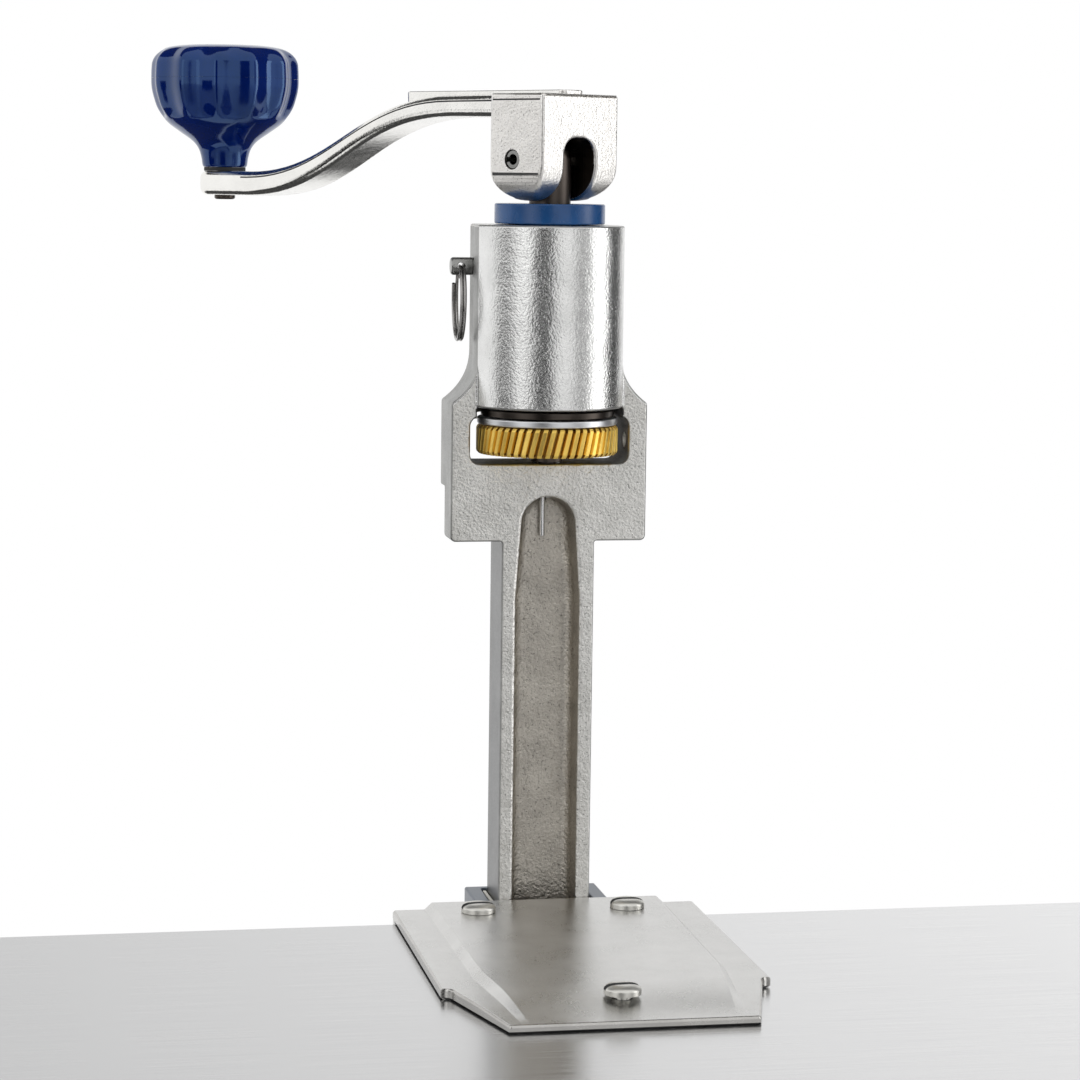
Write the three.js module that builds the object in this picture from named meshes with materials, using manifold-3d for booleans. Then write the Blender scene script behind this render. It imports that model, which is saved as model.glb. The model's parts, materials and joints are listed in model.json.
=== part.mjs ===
// A bench can opener: a cast bar that slides in a base on the edge of a table, with an arbor, a feed gear
// and a folding crank on top. Millimetres, +Z up, the front is -Y.
// The origin is on the table, under the middle of the base plate.

import * as THREE from 'three';
import { mergeVertices } from 'three/addons/utils/BufferGeometryUtils.js';
import Module from 'manifold-3d';

const wasm = await Module();
wasm.setup();

// ---- driving dimensions ---------------------------------------------------------------------------

const GAP = 0.3;                  // between pieces that touch or are pressed together

// From here on, y is measured from the arbor's axis.
const ARBOR_Y = 70;               // the arbor's axis, behind the middle of the base plate

const BAR = { half: 13.7, front: -4.5, back: 15, bottom: -203.5, top: 127, edge: 0.8 };
const CHANNEL = {
  half: 9.4, depth: 8.5, fillet: 3, archTop: 124, archHalf: 7.9, flareTop: 116, flareEnd: 94,
};

const HEAD = { half: 28.9, bottom: 111, step: 126, stepBack: 7.5, shoulder: 151.2, flare: 166, corner: 1.6 };
const HOUSING = { radius: 21.8, bottom: 150, top: 202.6, half: 20.8 };
const WINDOW = { half: 23.3, bottom: 133.6, top: 147.4, corner: 3 };
const BORE = { low: 9.8, high: 11, stepZ: 170.4 };
const JOURNAL_HOLE = { bush: 3.8, seat: 127.4, through: 2.4 };
const CHEEK_HOLE = { radius: 2.3, y: 1, z: 140.2 };
const STOP_PIN = { radius: 2.4, half: 18, z: BAR.bottom + 12 };

const GEAR = { tip: 20.65, root: 19.5, bottom: 136.5, top: 144.8, teeth: 54, twist: 5.6 };
const DISC = { radius: 20.4, bottom: 145.1, top: 147.1 };
const SPACER = { radius: 19.4, bottom: 147.4, top: 149.4 };
const ARBOR = { radius: 6, seat: 4.8, journal: 2.4, bottom: 127.6, seatBottom: 134.1, shoulder: 149.7 };
const GROOVE = { outer: 9.6, low: 181, from: 186.9, to: 193.9, high: 197.2 };
const COLLAR = { radius: 16, bottom: 202.9, top: 208.7, spigot: 10.7, spigotBottom: 198.2 };
const RUNNING = 0.3;              // radial clearance of the arbor in its bushings

const RELEASE_PIN = { radius: 2.3, head: 2.6, y: 9.4, z: 190.3, tip: 9, headInner: -21.2, headOuter: -27.4 };
const RING = { radius: 10.7, wire: 0.7, hole: 1.1, x: -24.6 };
const ROD = { radius: 0.9, x: -0.6, y: 2.8, bottom: 111.8, top: 126.8 };

const KNIFE_HOLDER = { half: 19, front: 15.3, back: 22, bottom: 152, top: 184, screwX: 14.5, screwZ: 172 };
const KNIFE = { half: 11, front: 22.3, back: 24.8, tip: 139.5, top: 170, screwX: 5.5, screwZ: 161 };

const CRANK_ANGLE = 126.5;        // plan angle of the crank from +X, in degrees
const CRANK = { throw: 141, end: -11.8, armSide: 9, half: 16.2, bottom: 209.5, top: 240, armHalf: 7.8 };
const PIVOT_Z = 221.2;            // the crank's cross pin
const CRANK_CORNER = { end: 10.6, arm: 8.8, side: 8 };
const CROSS_PIN = { outer: 2.6, inner: 1.5, half: 15.8 };
const BOSS = { radius: 7.8, bottom: 209.4, top: 216.9 };
const NAME_PAD = { from: -9, to: 55, half: 4.6, height: 1.2 };

const STUD = { tenon: 2.2, shaft: 3.2, head: 6.4, foot: 2.7, footBottom: 208, shoulder: 217.2 };
const KNOB = { bottom: 218.2, split: 246, top: 256.4, bore: 3.5, chamber: 7, chamberBottom: 238 };

const PLATE = { half: 45, front: -131, rear: -5, frontHalf: 33, notchY: -95, notch: 3, flange: 3, top: 5 };
const PLATEAU = { rearHalf: 36, midHalf: 35, midY: -86, frontHalf: 29.5, frontY: -126, slope: 2 };
const LIP = { front: -8.8, bottom: -60, lowHalf: 36 };
const TABLE_SCREWS = { x: 22, rearY: -19, frontY: -114, head: 5, shank: 2.3, hole: 2.8, length: 22 };

const GUIDE = { half: 20, front: -4.7, back: 18.2, top: 3.9, bottom: -62, slot: 15.4 };
const EAR = { half: 34, back: -0.6, top: -6, bottom: -56, screwX: 27, screwZ: [-17, -45] };
const LINER = { inner: 14, outer: 15.1, front: -3.5, back: 14.6, top: 3.4, bottom: -61 };

// ---- solids and the joins and cuts between them ---------------------------------------------------

function trianglesOf(geometry) {
  const index = Array.from(geometry.index.array);
  const kept = [];
  for (let i = 0; i < index.length; i += 3) {
    const [a, b, c] = index.slice(i, i + 3);
    if (a !== b && b !== c && c !== a) kept.push(a, b, c);
  }
  return kept;
}

function signedVolume(positions, triangles) {
  const corner = (i) => new THREE.Vector3().fromArray(positions, 3 * i);
  let sum = 0;
  for (let i = 0; i < triangles.length; i += 3) {
    const [a, b, c] = triangles.slice(i, i + 3).map(corner);
    sum += a.dot(b.cross(c));
  }
  return sum;
}

function toSolid(geometry) {
  const bare = geometry.clone();
  bare.deleteAttribute('normal');
  bare.deleteAttribute('uv');
  const merged = mergeVertices(bare, 1e-4);
  const positions = merged.attributes.position.array;
  const triangles = trianglesOf(merged);
  if (signedVolume(positions, triangles) < 0) triangles.reverse();
  const mesh = new wasm.Mesh({
    numProp: 3,
    vertProperties: new Float32Array(positions),
    triVerts: new Uint32Array(triangles),
  });
  return new wasm.Manifold(mesh);
}

function toGeometry(body) {
  const mesh = body.getMesh();
  const geometry = new THREE.BufferGeometry();
  geometry.setAttribute('position', new THREE.BufferAttribute(new Float32Array(mesh.vertProperties), 3));
  geometry.setIndex(new THREE.BufferAttribute(new Uint32Array(mesh.triVerts), 1));
  return geometry;
}

function combine(operation, first, others) {
  const body = others.reduce((sum, next) => sum[operation](toSolid(next)), toSolid(first));
  return toGeometry(body);
}

const join = (first, ...others) => combine('add', first, others);
const cut = (first, ...others) => combine('subtract', first, others);
const common = (first, ...others) => combine('intersect', first, others);

// ---- basic forms ----------------------------------------------------------------------------------

function box(x0, x1, y0, y1, z0, z1) {
  const form = new THREE.BoxGeometry(x1 - x0, y1 - y0, z1 - z0);
  return form.translate((x0 + x1) / 2, (y0 + y1) / 2, (z0 + z1) / 2);
}

function rodZ(radius, z0, z1, x = 0, y = 0, sides = 24) {
  const form = new THREE.CylinderGeometry(radius, radius, z1 - z0, sides);
  return form.rotateX(Math.PI / 2).translate(x, y, (z0 + z1) / 2);
}

function rodX(radius, x0, x1, y, z, sides = 16) {
  const form = new THREE.CylinderGeometry(radius, radius, x1 - x0, sides);
  return form.rotateZ(Math.PI / 2).translate((x0 + x1) / 2, y, z);
}

function rodY(radius, y0, y1, x, z, sides = 16) {
  return new THREE.CylinderGeometry(radius, radius, y1 - y0, sides).translate(x, (y0 + y1) / 2, z);
}

// A turned form about Z; each profile point is [radius, z] and the profile closes on itself or on the axis.
function turned(profile, sides = 32) {
  const points = profile.map(([radius, z]) => new THREE.Vector2(radius, z));
  return new THREE.LatheGeometry(points, sides).rotateX(Math.PI / 2);
}

function ring(inner, outer, z0, z1, sides = 32) {
  return turned([[inner, z0], [outer, z0], [outer, z1], [inner, z1], [inner, z0]], sides);
}

function extruded(shape, depth, curveSegments) {
  return new THREE.ExtrudeGeometry(shape, { depth, bevelEnabled: false, curveSegments });
}

// A plan outline (x, y) raised from z0 to z1.
const raised = (shape, z0, z1, segments = 6) => extruded(shape, z1 - z0, segments).translate(0, 0, z0);

// A front outline (x, z) given depth from y0 to y1.
const across = (shape, y0, y1, segments = 6) =>
  extruded(shape, y1 - y0, segments).rotateX(Math.PI / 2).translate(0, y1, 0);

// A side outline (y, z) given length from x0 to x1.
function along(shape, x0, x1, segments = 6) {
  const turn = new THREE.Matrix4().makeBasis(
    new THREE.Vector3(0, 1, 0), new THREE.Vector3(0, 0, 1), new THREE.Vector3(1, 0, 0),
  );
  return extruded(shape, x1 - x0, segments).applyMatrix4(turn).translate(x0, 0, 0);
}

// A rectangle whose four corners have their own radii, from the lower left, counter-clockwise.
function roundedRectangle(x0, x1, y0, y1, [r00, r10, r11, r01]) {
  const shape = new THREE.Shape();
  shape.moveTo(x0 + r00, y0);
  shape.lineTo(x1 - r10, y0);
  if (r10) shape.absarc(x1 - r10, y0 + r10, r10, -Math.PI / 2, 0, false);
  shape.lineTo(x1, y1 - r11);
  if (r11) shape.absarc(x1 - r11, y1 - r11, r11, 0, Math.PI / 2, false);
  shape.lineTo(x0 + r01, y1);
  if (r01) shape.absarc(x0 + r01, y1 - r01, r01, Math.PI / 2, Math.PI, false);
  shape.lineTo(x0, y0 + r00);
  if (r00) shape.absarc(x0 + r00, y0 + r00, r00, Math.PI, 1.5 * Math.PI, false);
  return shape;
}

function polygon(points) {
  return new THREE.Shape(points.map(([x, y]) => new THREE.Vector2(x, y)));
}

// ---- materials and pieces -------------------------------------------------------------------------

const FINISHES = {
  castSteel: { color: 0xb9b8b4, roughness: 0.42, metalness: 1 },
  satinSteel: { color: 0xc8c6c2, roughness: 0.3, metalness: 1 },
  plateSteel: { color: 0xa9a7a2, roughness: 0.38, metalness: 1 },
  brightSteel: { color: 0xd2d2d2, roughness: 0.2, metalness: 1 },
  darkSteel: { color: 0x3a3634, roughness: 0.4, metalness: 1 },
  guideSteel: { color: 0x7f8792, roughness: 0.4, metalness: 1 },
  brass: { color: 0xc79a3a, roughness: 0.35, metalness: 1 },
  navyGloss: { color: 0x0c2266, roughness: 0.12, metalness: 0 },
  blueMatt: { color: 0x27509a, roughness: 0.5, metalness: 0 },
  bronze: { color: 0x9a6b3c, roughness: 0.5, metalness: 1 },
  whiteNylon: { color: 0xdedbd2, roughness: 0.55, metalness: 0 },
  blackRubber: { color: 0x16161a, roughness: 0.7, metalness: 0 },
};

function piece(name, geometry, finish) {
  const mesh = new THREE.Mesh(geometry, new THREE.MeshStandardMaterial(FINISHES[finish]));
  mesh.name = name;
  return mesh;
}

// ---- the base on the table ------------------------------------------------------------------------

function plateOutline() {
  const shape = new THREE.Shape();
  const inner = PLATE.half - PLATE.notch;
  shape.moveTo(-PLATE.frontHalf, PLATE.front);
  shape.lineTo(PLATE.frontHalf, PLATE.front);
  shape.lineTo(inner, PLATE.notchY - PLATE.notch);
  shape.absarc(PLATE.half, PLATE.notchY - PLATE.notch, PLATE.notch, Math.PI, Math.PI / 2, true);
  shape.lineTo(PLATE.half, PLATE.rear);
  shape.lineTo(-PLATE.half, PLATE.rear);
  shape.lineTo(-PLATE.half, PLATE.notchY);
  shape.absarc(-PLATE.half, PLATE.notchY - PLATE.notch, PLATE.notch, Math.PI / 2, 0, true);
  return shape;
}

function plateauForm() {
  const right = [
    [PLATEAU.frontHalf, PLATEAU.frontY], [PLATEAU.midHalf, PLATEAU.midY], [PLATEAU.rearHalf, PLATE.rear],
  ];
  const left = right.map(([x, y]) => [-x, y]).reverse();
  const form = new THREE.ExtrudeGeometry(polygon([...right, ...left]), {
    depth: PLATE.top - 2 * PLATEAU.slope,
    bevelSize: PLATEAU.slope,
    bevelThickness: PLATEAU.slope,
    bevelOffset: -PLATEAU.slope,
    bevelSegments: 1,
  });
  const raisedForm = form.translate(0, 0, PLATEAU.slope);
  return common(raisedForm, box(-PLATE.half, PLATE.half, PLATE.front, PLATE.rear, 1, PLATE.top + 1));
}

const tableScrewPlaces = [
  ['base_screw_rear_left', -TABLE_SCREWS.x, TABLE_SCREWS.rearY],
  ['base_screw_rear_right', TABLE_SCREWS.x, TABLE_SCREWS.rearY],
  ['base_screw_front', 0, TABLE_SCREWS.frontY],
];

const guideScrewPlaces = [-1, 1].flatMap((side) => EAR.screwZ.map((z, row) => {
  const name = `guide_screw_${row === 0 ? 'upper' : 'lower'}_${side < 0 ? 'left' : 'right'}`;
  return [name, side * EAR.screwX, z];
}));

function basePlate() {
  const lipOutline = polygon([
    [-PLATE.half, 1], [-PLATE.half, -8], [-LIP.lowHalf, LIP.bottom],
    [LIP.lowHalf, LIP.bottom], [PLATE.half, -8], [PLATE.half, 1],
  ]);
  const body = join(
    raised(plateOutline(), 0, PLATE.flange),
    plateauForm(),
    across(lipOutline, LIP.front, PLATE.rear),
  );
  const tableHoles = tableScrewPlaces.map(([, x, y]) => rodZ(TABLE_SCREWS.hole, -1, PLATE.top + 1, x, y));
  const guideHoles = guideScrewPlaces.map(([, x, z]) => rodY(2.5, LIP.front - 1, PLATE.rear + 1, x, z));
  return cut(body, ...tableHoles, ...guideHoles);
}

function tableScrew(x, y) {
  const under = PLATE.top + GAP;
  const { head, shank, length } = TABLE_SCREWS;
  const form = turned([
    [0, under - length], [shank, under - length + shank], [shank, under], [head, under],
    [head, under + 0.9], [head * 0.8, under + 1.8], [head * 0.45, under + 2.3], [0, under + 2.5],
  ], 20).translate(x, y, 0);
  return cut(form, box(x - head - 1, x + head + 1, y - 0.6, y + 0.6, under + 1.4, under + 4));
}

function barGuide() {
  const earOutline = roundedRectangle(-EAR.half, EAR.half, EAR.bottom, EAR.top, [4, 4, 4, 4]);
  const body = join(
    box(-GUIDE.half, GUIDE.half, GUIDE.front, GUIDE.back, GUIDE.bottom, GUIDE.top),
    across(earOutline, GUIDE.front, EAR.back, 4),
  );
  const slot = box(-GUIDE.slot, GUIDE.slot, GUIDE.front - 1, BAR.back + GAP, GUIDE.bottom - 1, GUIDE.top + 1);
  const holes = guideScrewPlaces.map(([, x, z]) => rodY(2.5, GUIDE.front - 1, EAR.back + 1, x, z));
  return cut(body, slot, ...holes);
}

function guideScrew(x, z) {
  const seat = EAR.back + GAP;
  const shank = rodY(2.2, LIP.front + 0.6, seat + 1, x, z, 12);
  const head = rodY(4.2, seat, seat + 3, x, z, 20);
  const socket = rodY(2, seat + 1.2, seat + 4, x, z, 6);
  return cut(join(shank, head), socket);
}

function guideLiner(side) {
  const [near, far] = side < 0 ? [-LINER.outer, -LINER.inner] : [LINER.inner, LINER.outer];
  return box(near, far, LINER.front, LINER.back, LINER.bottom, LINER.top);
}

// ---- the bar, its head and its housing, one casting -----------------------------------------------

function headOutline() {
  const shape = new THREE.Shape();
  const { half, step, shoulder, flare } = HEAD;
  const control = flare - 9;
  shape.moveTo(-half, step);
  shape.lineTo(half, step);
  shape.lineTo(half, shoulder);
  shape.quadraticCurveTo(HOUSING.half, control, HOUSING.half, flare);
  shape.lineTo(HOUSING.half, HOUSING.top);
  shape.lineTo(-HOUSING.half, HOUSING.top);
  shape.lineTo(-HOUSING.half, flare);
  shape.quadraticCurveTo(-HOUSING.half, control, -half, shoulder);
  return shape;
}

function channelOutline() {
  const shape = new THREE.Shape();
  const { half, archTop, archHalf, flareTop, flareEnd } = CHANNEL;
  const below = BAR.bottom - 10;
  shape.moveTo(-half, below);
  shape.lineTo(half, below);
  shape.lineTo(half, flareEnd);
  shape.lineTo(archHalf, flareTop);
  shape.absellipse(0, flareTop, archHalf, archTop - flareTop, 0, Math.PI, false, 0);
  shape.lineTo(-half, flareEnd);
  return shape;
}

function channelTool() {
  const form = new THREE.ExtrudeGeometry(channelOutline(), {
    depth: 10,
    bevelSize: CHANNEL.fillet,
    bevelThickness: CHANNEL.fillet,
    bevelOffset: -CHANNEL.fillet,
    bevelSegments: 3,
    curveSegments: 10,
  });
  const floor = BAR.front + CHANNEL.depth;
  return form.rotateX(Math.PI / 2).translate(0, floor - CHANNEL.fillet, 0);
}

const knifeHolderScrewPlaces = [
  ['holder_screw_left', -KNIFE_HOLDER.screwX],
  ['holder_screw_right', KNIFE_HOLDER.screwX],
];

const knifeScrewPlaces = [['knife_screw_left', -KNIFE.screwX], ['knife_screw_right', KNIFE.screwX]];

function barCasting() {
  const { edge } = BAR;
  const barSection = polygon([
    [-BAR.half, BAR.front + edge], [-BAR.half + edge, BAR.front], [BAR.half - edge, BAR.front],
    [BAR.half, BAR.front + edge], [BAR.half, BAR.back - edge], [BAR.half - edge, BAR.back],
    [-BAR.half + edge, BAR.back], [-BAR.half, BAR.back - edge],
  ]);
  const lowerHead = roundedRectangle(
    -HEAD.half, HEAD.half, HEAD.bottom, HEAD.step + 1, [HEAD.corner, HEAD.corner, 0, 0],
  );
  const housing = common(
    rodZ(HOUSING.radius, HOUSING.bottom, HOUSING.top, 0, 0, 64),
    box(-HOUSING.radius, HOUSING.radius, -HOUSING.radius, BAR.back, HOUSING.bottom, HOUSING.top),
  );
  const body = join(
    raised(barSection, BAR.bottom, BAR.top),
    across(lowerHead, BAR.front, HEAD.stepBack),
    across(headOutline(), BAR.front, BAR.back),
    housing,
  );
  const { half, bottom, top, corner } = WINDOW;
  const windowOutline = roundedRectangle(-half, half, bottom, top, [corner, corner, corner, corner]);
  const holderHoles = knifeHolderScrewPlaces.map(
    ([, x]) => rodY(2.1, BAR.back - 8, BAR.back + 1, x, KNIFE_HOLDER.screwZ),
  );
  return cut(
    body,
    across(windowOutline, BAR.front - 1, BAR.back + 1, 4),
    rodZ(HOUSING.radius + 0.1, bottom + 2, HOUSING.bottom, 0, 0, 64),
    rodZ(BORE.low, HOUSING.bottom - 1, BORE.stepZ + 1),
    rodZ(BORE.high, BORE.stepZ, HOUSING.top + 1),
    rodZ(JOURNAL_HOLE.bush, JOURNAL_HOLE.seat, bottom + 1, 0, 0, 20),
    rodZ(JOURNAL_HOLE.through, CHANNEL.archTop - 4, JOURNAL_HOLE.seat + 1, 0, 0, 20),
    channelTool(),
    rodX(CHEEK_HOLE.radius, WINDOW.half - 1, HEAD.half + 1, CHEEK_HOLE.y, CHEEK_HOLE.z),
    rodX(RELEASE_PIN.radius + GAP, -HOUSING.half - 1, RELEASE_PIN.tip + 1, RELEASE_PIN.y, RELEASE_PIN.z),
    rodX(STOP_PIN.radius + GAP, -STOP_PIN.half, STOP_PIN.half, BAR.back - 5, STOP_PIN.z),
    rodZ(ROD.radius + GAP, CHANNEL.archTop - 5, JOURNAL_HOLE.seat + 0.5, ROD.x, ROD.y, 12),
    ...holderHoles,
  );
}

function thrustCollar() {
  const bore = ARBOR.radius + RUNNING;
  return turned([
    [bore, COLLAR.spigotBottom], [COLLAR.spigot, COLLAR.spigotBottom], [COLLAR.spigot, COLLAR.bottom],
    [COLLAR.radius, COLLAR.bottom], [COLLAR.radius, COLLAR.top - 0.4], [COLLAR.radius - 0.4, COLLAR.top],
    [bore, COLLAR.top], [bore, COLLAR.spigotBottom],
  ], 36);
}

// ---- the knife on the back of the head ------------------------------------------------------------

function knifeHolder() {
  const { half, front, back, bottom, top, screwX, screwZ } = KNIFE_HOLDER;
  const outline = roundedRectangle(-half, half, bottom, top, [2, 2, 6, 6]);
  const holderHoles = [-screwX, screwX].map((x) => rodY(2.5, front - 1, back + 1, x, screwZ));
  const knifeHoles = [-KNIFE.screwX, KNIFE.screwX].map(
    (x) => rodY(2.1, back - 5, back + 1, x, KNIFE.screwZ),
  );
  return cut(across(outline, front, back, 5), ...holderHoles, ...knifeHoles);
}

function knifeBlade() {
  const { half, front, back, tip, top, screwX, screwZ } = KNIFE;
  const shape = new THREE.Shape();
  shape.moveTo(-half, tip + 7);
  shape.quadraticCurveTo(-half * 0.4, tip, half * 0.3, tip);
  shape.quadraticCurveTo(half, tip + 1, half, tip + 9);
  shape.lineTo(half, top);
  shape.lineTo(-half, top);
  const blade = across(shape, front, back, 8);
  const bevel = polygon([[front - 1, tip - 1], [front - 1, tip + 6.5], [back - 0.3, tip - 1]]);
  const holes = [-screwX, screwX].map((x) => rodY(2.4, front - 1, back + 1, x, screwZ));
  return cut(blade, along(bevel, -half - 1, half + 1), ...holes);
}

function backScrew(x, z, seat, depth) {
  const shank = rodY(1.8, seat - depth, seat + 1, x, z, 12);
  const head = rodY(3.8, seat + GAP, seat + 2.9, x, z, 20);
  const slot = box(x - 5, x + 5, seat + 1.9, seat + 4, z - 0.5, z + 0.5);
  return cut(join(shank, head), slot);
}

// ---- the arbor and the feed gear ------------------------------------------------------------------

function arborShaft() {
  const { radius, seat, journal, bottom, seatBottom, shoulder } = ARBOR;
  const dome = [68, 45, 22].map((degrees) => {
    const angle = THREE.MathUtils.degToRad(90 - degrees);
    return [radius * Math.cos(angle), PIVOT_Z + radius * Math.sin(angle)];
  });
  const form = turned([
    [0, bottom], [journal - 0.5, bottom], [journal, bottom + 0.5], [journal, seatBottom],
    [seat, seatBottom], [seat, shoulder], [radius, shoulder],
    [radius, GROOVE.low], [GROOVE.outer, GROOVE.low], [GROOVE.outer, GROOVE.from],
    [radius, GROOVE.from], [radius, GROOVE.to], [GROOVE.outer, GROOVE.to], [GROOVE.outer, GROOVE.high],
    [radius, GROOVE.high], [radius, PIVOT_Z], ...dome, [0, PIVOT_Z + radius],
  ], 24);
  return cut(form, rodY(CROSS_PIN.outer + GAP, -radius - 1, radius + 1, 0, PIVOT_Z));
}

// The teeth lean: the outline turns by GEAR.twist degrees from the bottom face to the top face.
function feedGear() {
  const shape = new THREE.Shape();
  const pitch = (2 * Math.PI) / GEAR.teeth;
  const corners = [[-0.42, GEAR.root], [-0.2, GEAR.tip], [0.16, GEAR.tip], [0.38, GEAR.root]];
  for (let tooth = 0; tooth < GEAR.teeth; tooth += 1) {
    for (const [offset, radius] of corners) {
      const angle = (tooth + offset) * pitch;
      const move = tooth === 0 && offset === corners[0][0] ? 'moveTo' : 'lineTo';
      shape[move](radius * Math.cos(angle), radius * Math.sin(angle));
    }
  }
  const bore = new THREE.Path();
  bore.absarc(0, 0, ARBOR.seat + GAP, 0, 2 * Math.PI, true);
  shape.holes.push(bore);
  const form = raised(shape, GEAR.bottom, GEAR.top, 10);
  const position = form.attributes.position;
  const turn = THREE.MathUtils.degToRad(GEAR.twist);
  for (let i = 0; i < position.count; i += 1) {
    const share = (position.getZ(i) - GEAR.bottom) / (GEAR.top - GEAR.bottom);
    const point = new THREE.Vector3().fromBufferAttribute(position, i);
    point.applyAxisAngle(new THREE.Vector3(0, 0, 1), turn * share);
    position.setXYZ(i, point.x, point.y, point.z);
  }
  return toGeometry(toSolid(form));
}

// ---- the crank; its local +X runs out along the arm -----------------------------------------------

function armOutline() {
  const shape = new THREE.Shape();
  shape.moveTo(5, CRANK.top);
  shape.lineTo(34, CRANK.top - 0.1);
  shape.bezierCurveTo(74, CRANK.top - 0.1, 84, BOSS.top + 0.3, 122, BOSS.top);
  shape.lineTo(CRANK.throw, BOSS.top);
  shape.lineTo(CRANK.throw, BOSS.bottom + 0.2);
  shape.lineTo(122, BOSS.bottom + 0.4);
  shape.bezierCurveTo(84, BOSS.bottom + 0.8, 76, 233.6, 34, 233.6);
  shape.lineTo(5, 233.4);
  return shape;
}

function crankCavity() {
  const reach = ARBOR.radius + GAP;
  const shape = new THREE.Shape();
  shape.moveTo(CRANK.end - 2, CRANK.bottom - 2);
  shape.lineTo(reach, CRANK.bottom - 2);
  shape.lineTo(reach, PIVOT_Z);
  shape.absarc(0, PIVOT_Z, reach, 0, Math.PI / 2, false);
  shape.lineTo(CRANK.end - 2, PIVOT_Z + reach);
  return across(shape, -ARBOR.radius - 2 * GAP, ARBOR.radius + 2 * GAP, 8);
}

function crankHandle() {
  const { end, armSide, half, bottom, top } = CRANK;
  const corner = CRANK_CORNER;
  const sideView = roundedRectangle(end, armSide, bottom, top, [corner.end, corner.arm, 0, 0.6]);
  const endView = roundedRectangle(-half, half, bottom, top, [corner.side, corner.side, 0.8, 0.8]);
  const block = common(across(sideView, -half, half, 6), along(endView, end, armSide, 6));
  const pad = roundedRectangle(NAME_PAD.from, NAME_PAD.to, -NAME_PAD.half, NAME_PAD.half, [2, 2, 2, 2]);
  const body = join(
    block,
    across(armOutline(), -CRANK.armHalf, CRANK.armHalf, 14),
    rodZ(BOSS.radius, BOSS.bottom, BOSS.top, CRANK.throw, 0, 28),
    raised(pad, top - 3, top + NAME_PAD.height, 3),
  );
  return cut(
    body,
    crankCavity(),
    rodY(CROSS_PIN.outer + GAP, -half - 1, half + 1, 0, PIVOT_Z),
    rodZ(STUD.tenon + GAP, BOSS.bottom - 1, BOSS.top + 1, CRANK.throw, 0, 16),
  );
}

function crossPin() {
  const { outer, inner, half } = CROSS_PIN;
  return ring(inner, outer, -half, half, 20).rotateX(Math.PI / 2).translate(0, 0, PIVOT_Z);
}

function knobStud() {
  const { tenon, shaft, head, foot, footBottom, shoulder } = STUD;
  const headBottom = KNOB.chamberBottom + GAP;
  const footTop = BOSS.bottom - GAP;
  return turned([
    [0, footBottom], [foot - 0.4, footBottom], [foot, footBottom + 0.4], [foot, footTop],
    [tenon, footTop], [tenon, shoulder + 1], [shaft, shoulder + 1], [shaft, headBottom],
    [head, headBottom], [head, headBottom + 3], [0, headBottom + 3],
  ], 20);
}

// The knob's outside from the neck to the split line, as [radius, z].
const KNOB_SIDE = [
  [6.7, 218.2], [7.1, 218.9], [7.5, 221.4], [8.4, 224.1], [10.4, 226.5], [14.5, 229.4],
  [18.2, 232.2], [21.3, 236.3], [22.8, 240.5], [23.4, 243.5], [23.5, 246],
];

const KNOB_CROWN = [
  [23.5, 246.3], [23.4, 249], [23.1, 251.3], [22, 253.2], [20.2, 254.6], [17.8, 255.7], [15, 256.4],
];

function knobBody() {
  return turned([
    [KNOB.bore, KNOB.bottom], ...KNOB_SIDE, [KNOB.chamber, KNOB.split],
    [KNOB.chamber, KNOB.chamberBottom], [KNOB.bore, KNOB.chamberBottom], [KNOB.bore, KNOB.bottom],
  ], 32);
}

function knobCap() {
  const spigot = KNOB.chamber - GAP;
  return turned([[0, 243], [spigot, 243], [spigot, 246.3], ...KNOB_CROWN, [0, KNOB.top]], 32);
}

// ---- the release pin and its ring -----------------------------------------------------------------

function releasePin() {
  const { radius, head, y, z, tip, headInner, headOuter } = RELEASE_PIN;
  const form = join(rodX(radius, headInner - 1, tip, y, z), rodX(head, headOuter, headInner, y, z, 20));
  return cut(form, rodY(RING.hole, y - head - 1, y + head + 1, RING.x, z, 12));
}

function pullRing() {
  const form = new THREE.TorusGeometry(RING.radius, RING.wire, 6, 30).rotateY(Math.PI / 2);
  return form.translate(RING.x, RELEASE_PIN.y, RELEASE_PIN.z - RING.radius);
}

// ---- the assembly ---------------------------------------------------------------------------------

const opener = new THREE.Group();
const atArbor = new THREE.Group();
atArbor.position.y = ARBOR_Y;
opener.add(atArbor);

atArbor.add(piece('base_plate', basePlate(), 'plateSteel'));
for (const [name, x, y] of tableScrewPlaces) atArbor.add(piece(name, tableScrew(x, y), 'brightSteel'));
atArbor.add(piece('bar_guide', barGuide(), 'guideSteel'));
atArbor.add(piece('guide_liner_left', guideLiner(-1), 'whiteNylon'));
atArbor.add(piece('guide_liner_right', guideLiner(1), 'whiteNylon'));
for (const [name, x, z] of guideScrewPlaces) atArbor.add(piece(name, guideScrew(x, z), 'darkSteel'));

atArbor.add(piece('bar_casting', barCasting(), 'castSteel'));
atArbor.add(piece('bar_stop_pin', rodX(
  STOP_PIN.radius, -STOP_PIN.half, STOP_PIN.half, BAR.back - 5, STOP_PIN.z,
), 'brightSteel'));
atArbor.add(piece('locating_rod', rodZ(ROD.radius, ROD.bottom, ROD.top, ROD.x, ROD.y, 12), 'brightSteel'));
atArbor.add(piece('thrust_collar', thrustCollar(), 'blueMatt'));
atArbor.add(piece('housing_bushing', ring(
  ARBOR.radius + RUNNING, BORE.low - GAP, HOUSING.bottom + 0.4, BORE.stepZ - GAP,
), 'bronze'));
atArbor.add(piece('journal_bushing', ring(
  ARBOR.journal + RUNNING, JOURNAL_HOLE.bush - GAP, JOURNAL_HOLE.seat + GAP, WINDOW.bottom - GAP, 20,
), 'bronze'));
atArbor.add(piece('knife_holder', knifeHolder(), 'satinSteel'));
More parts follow.
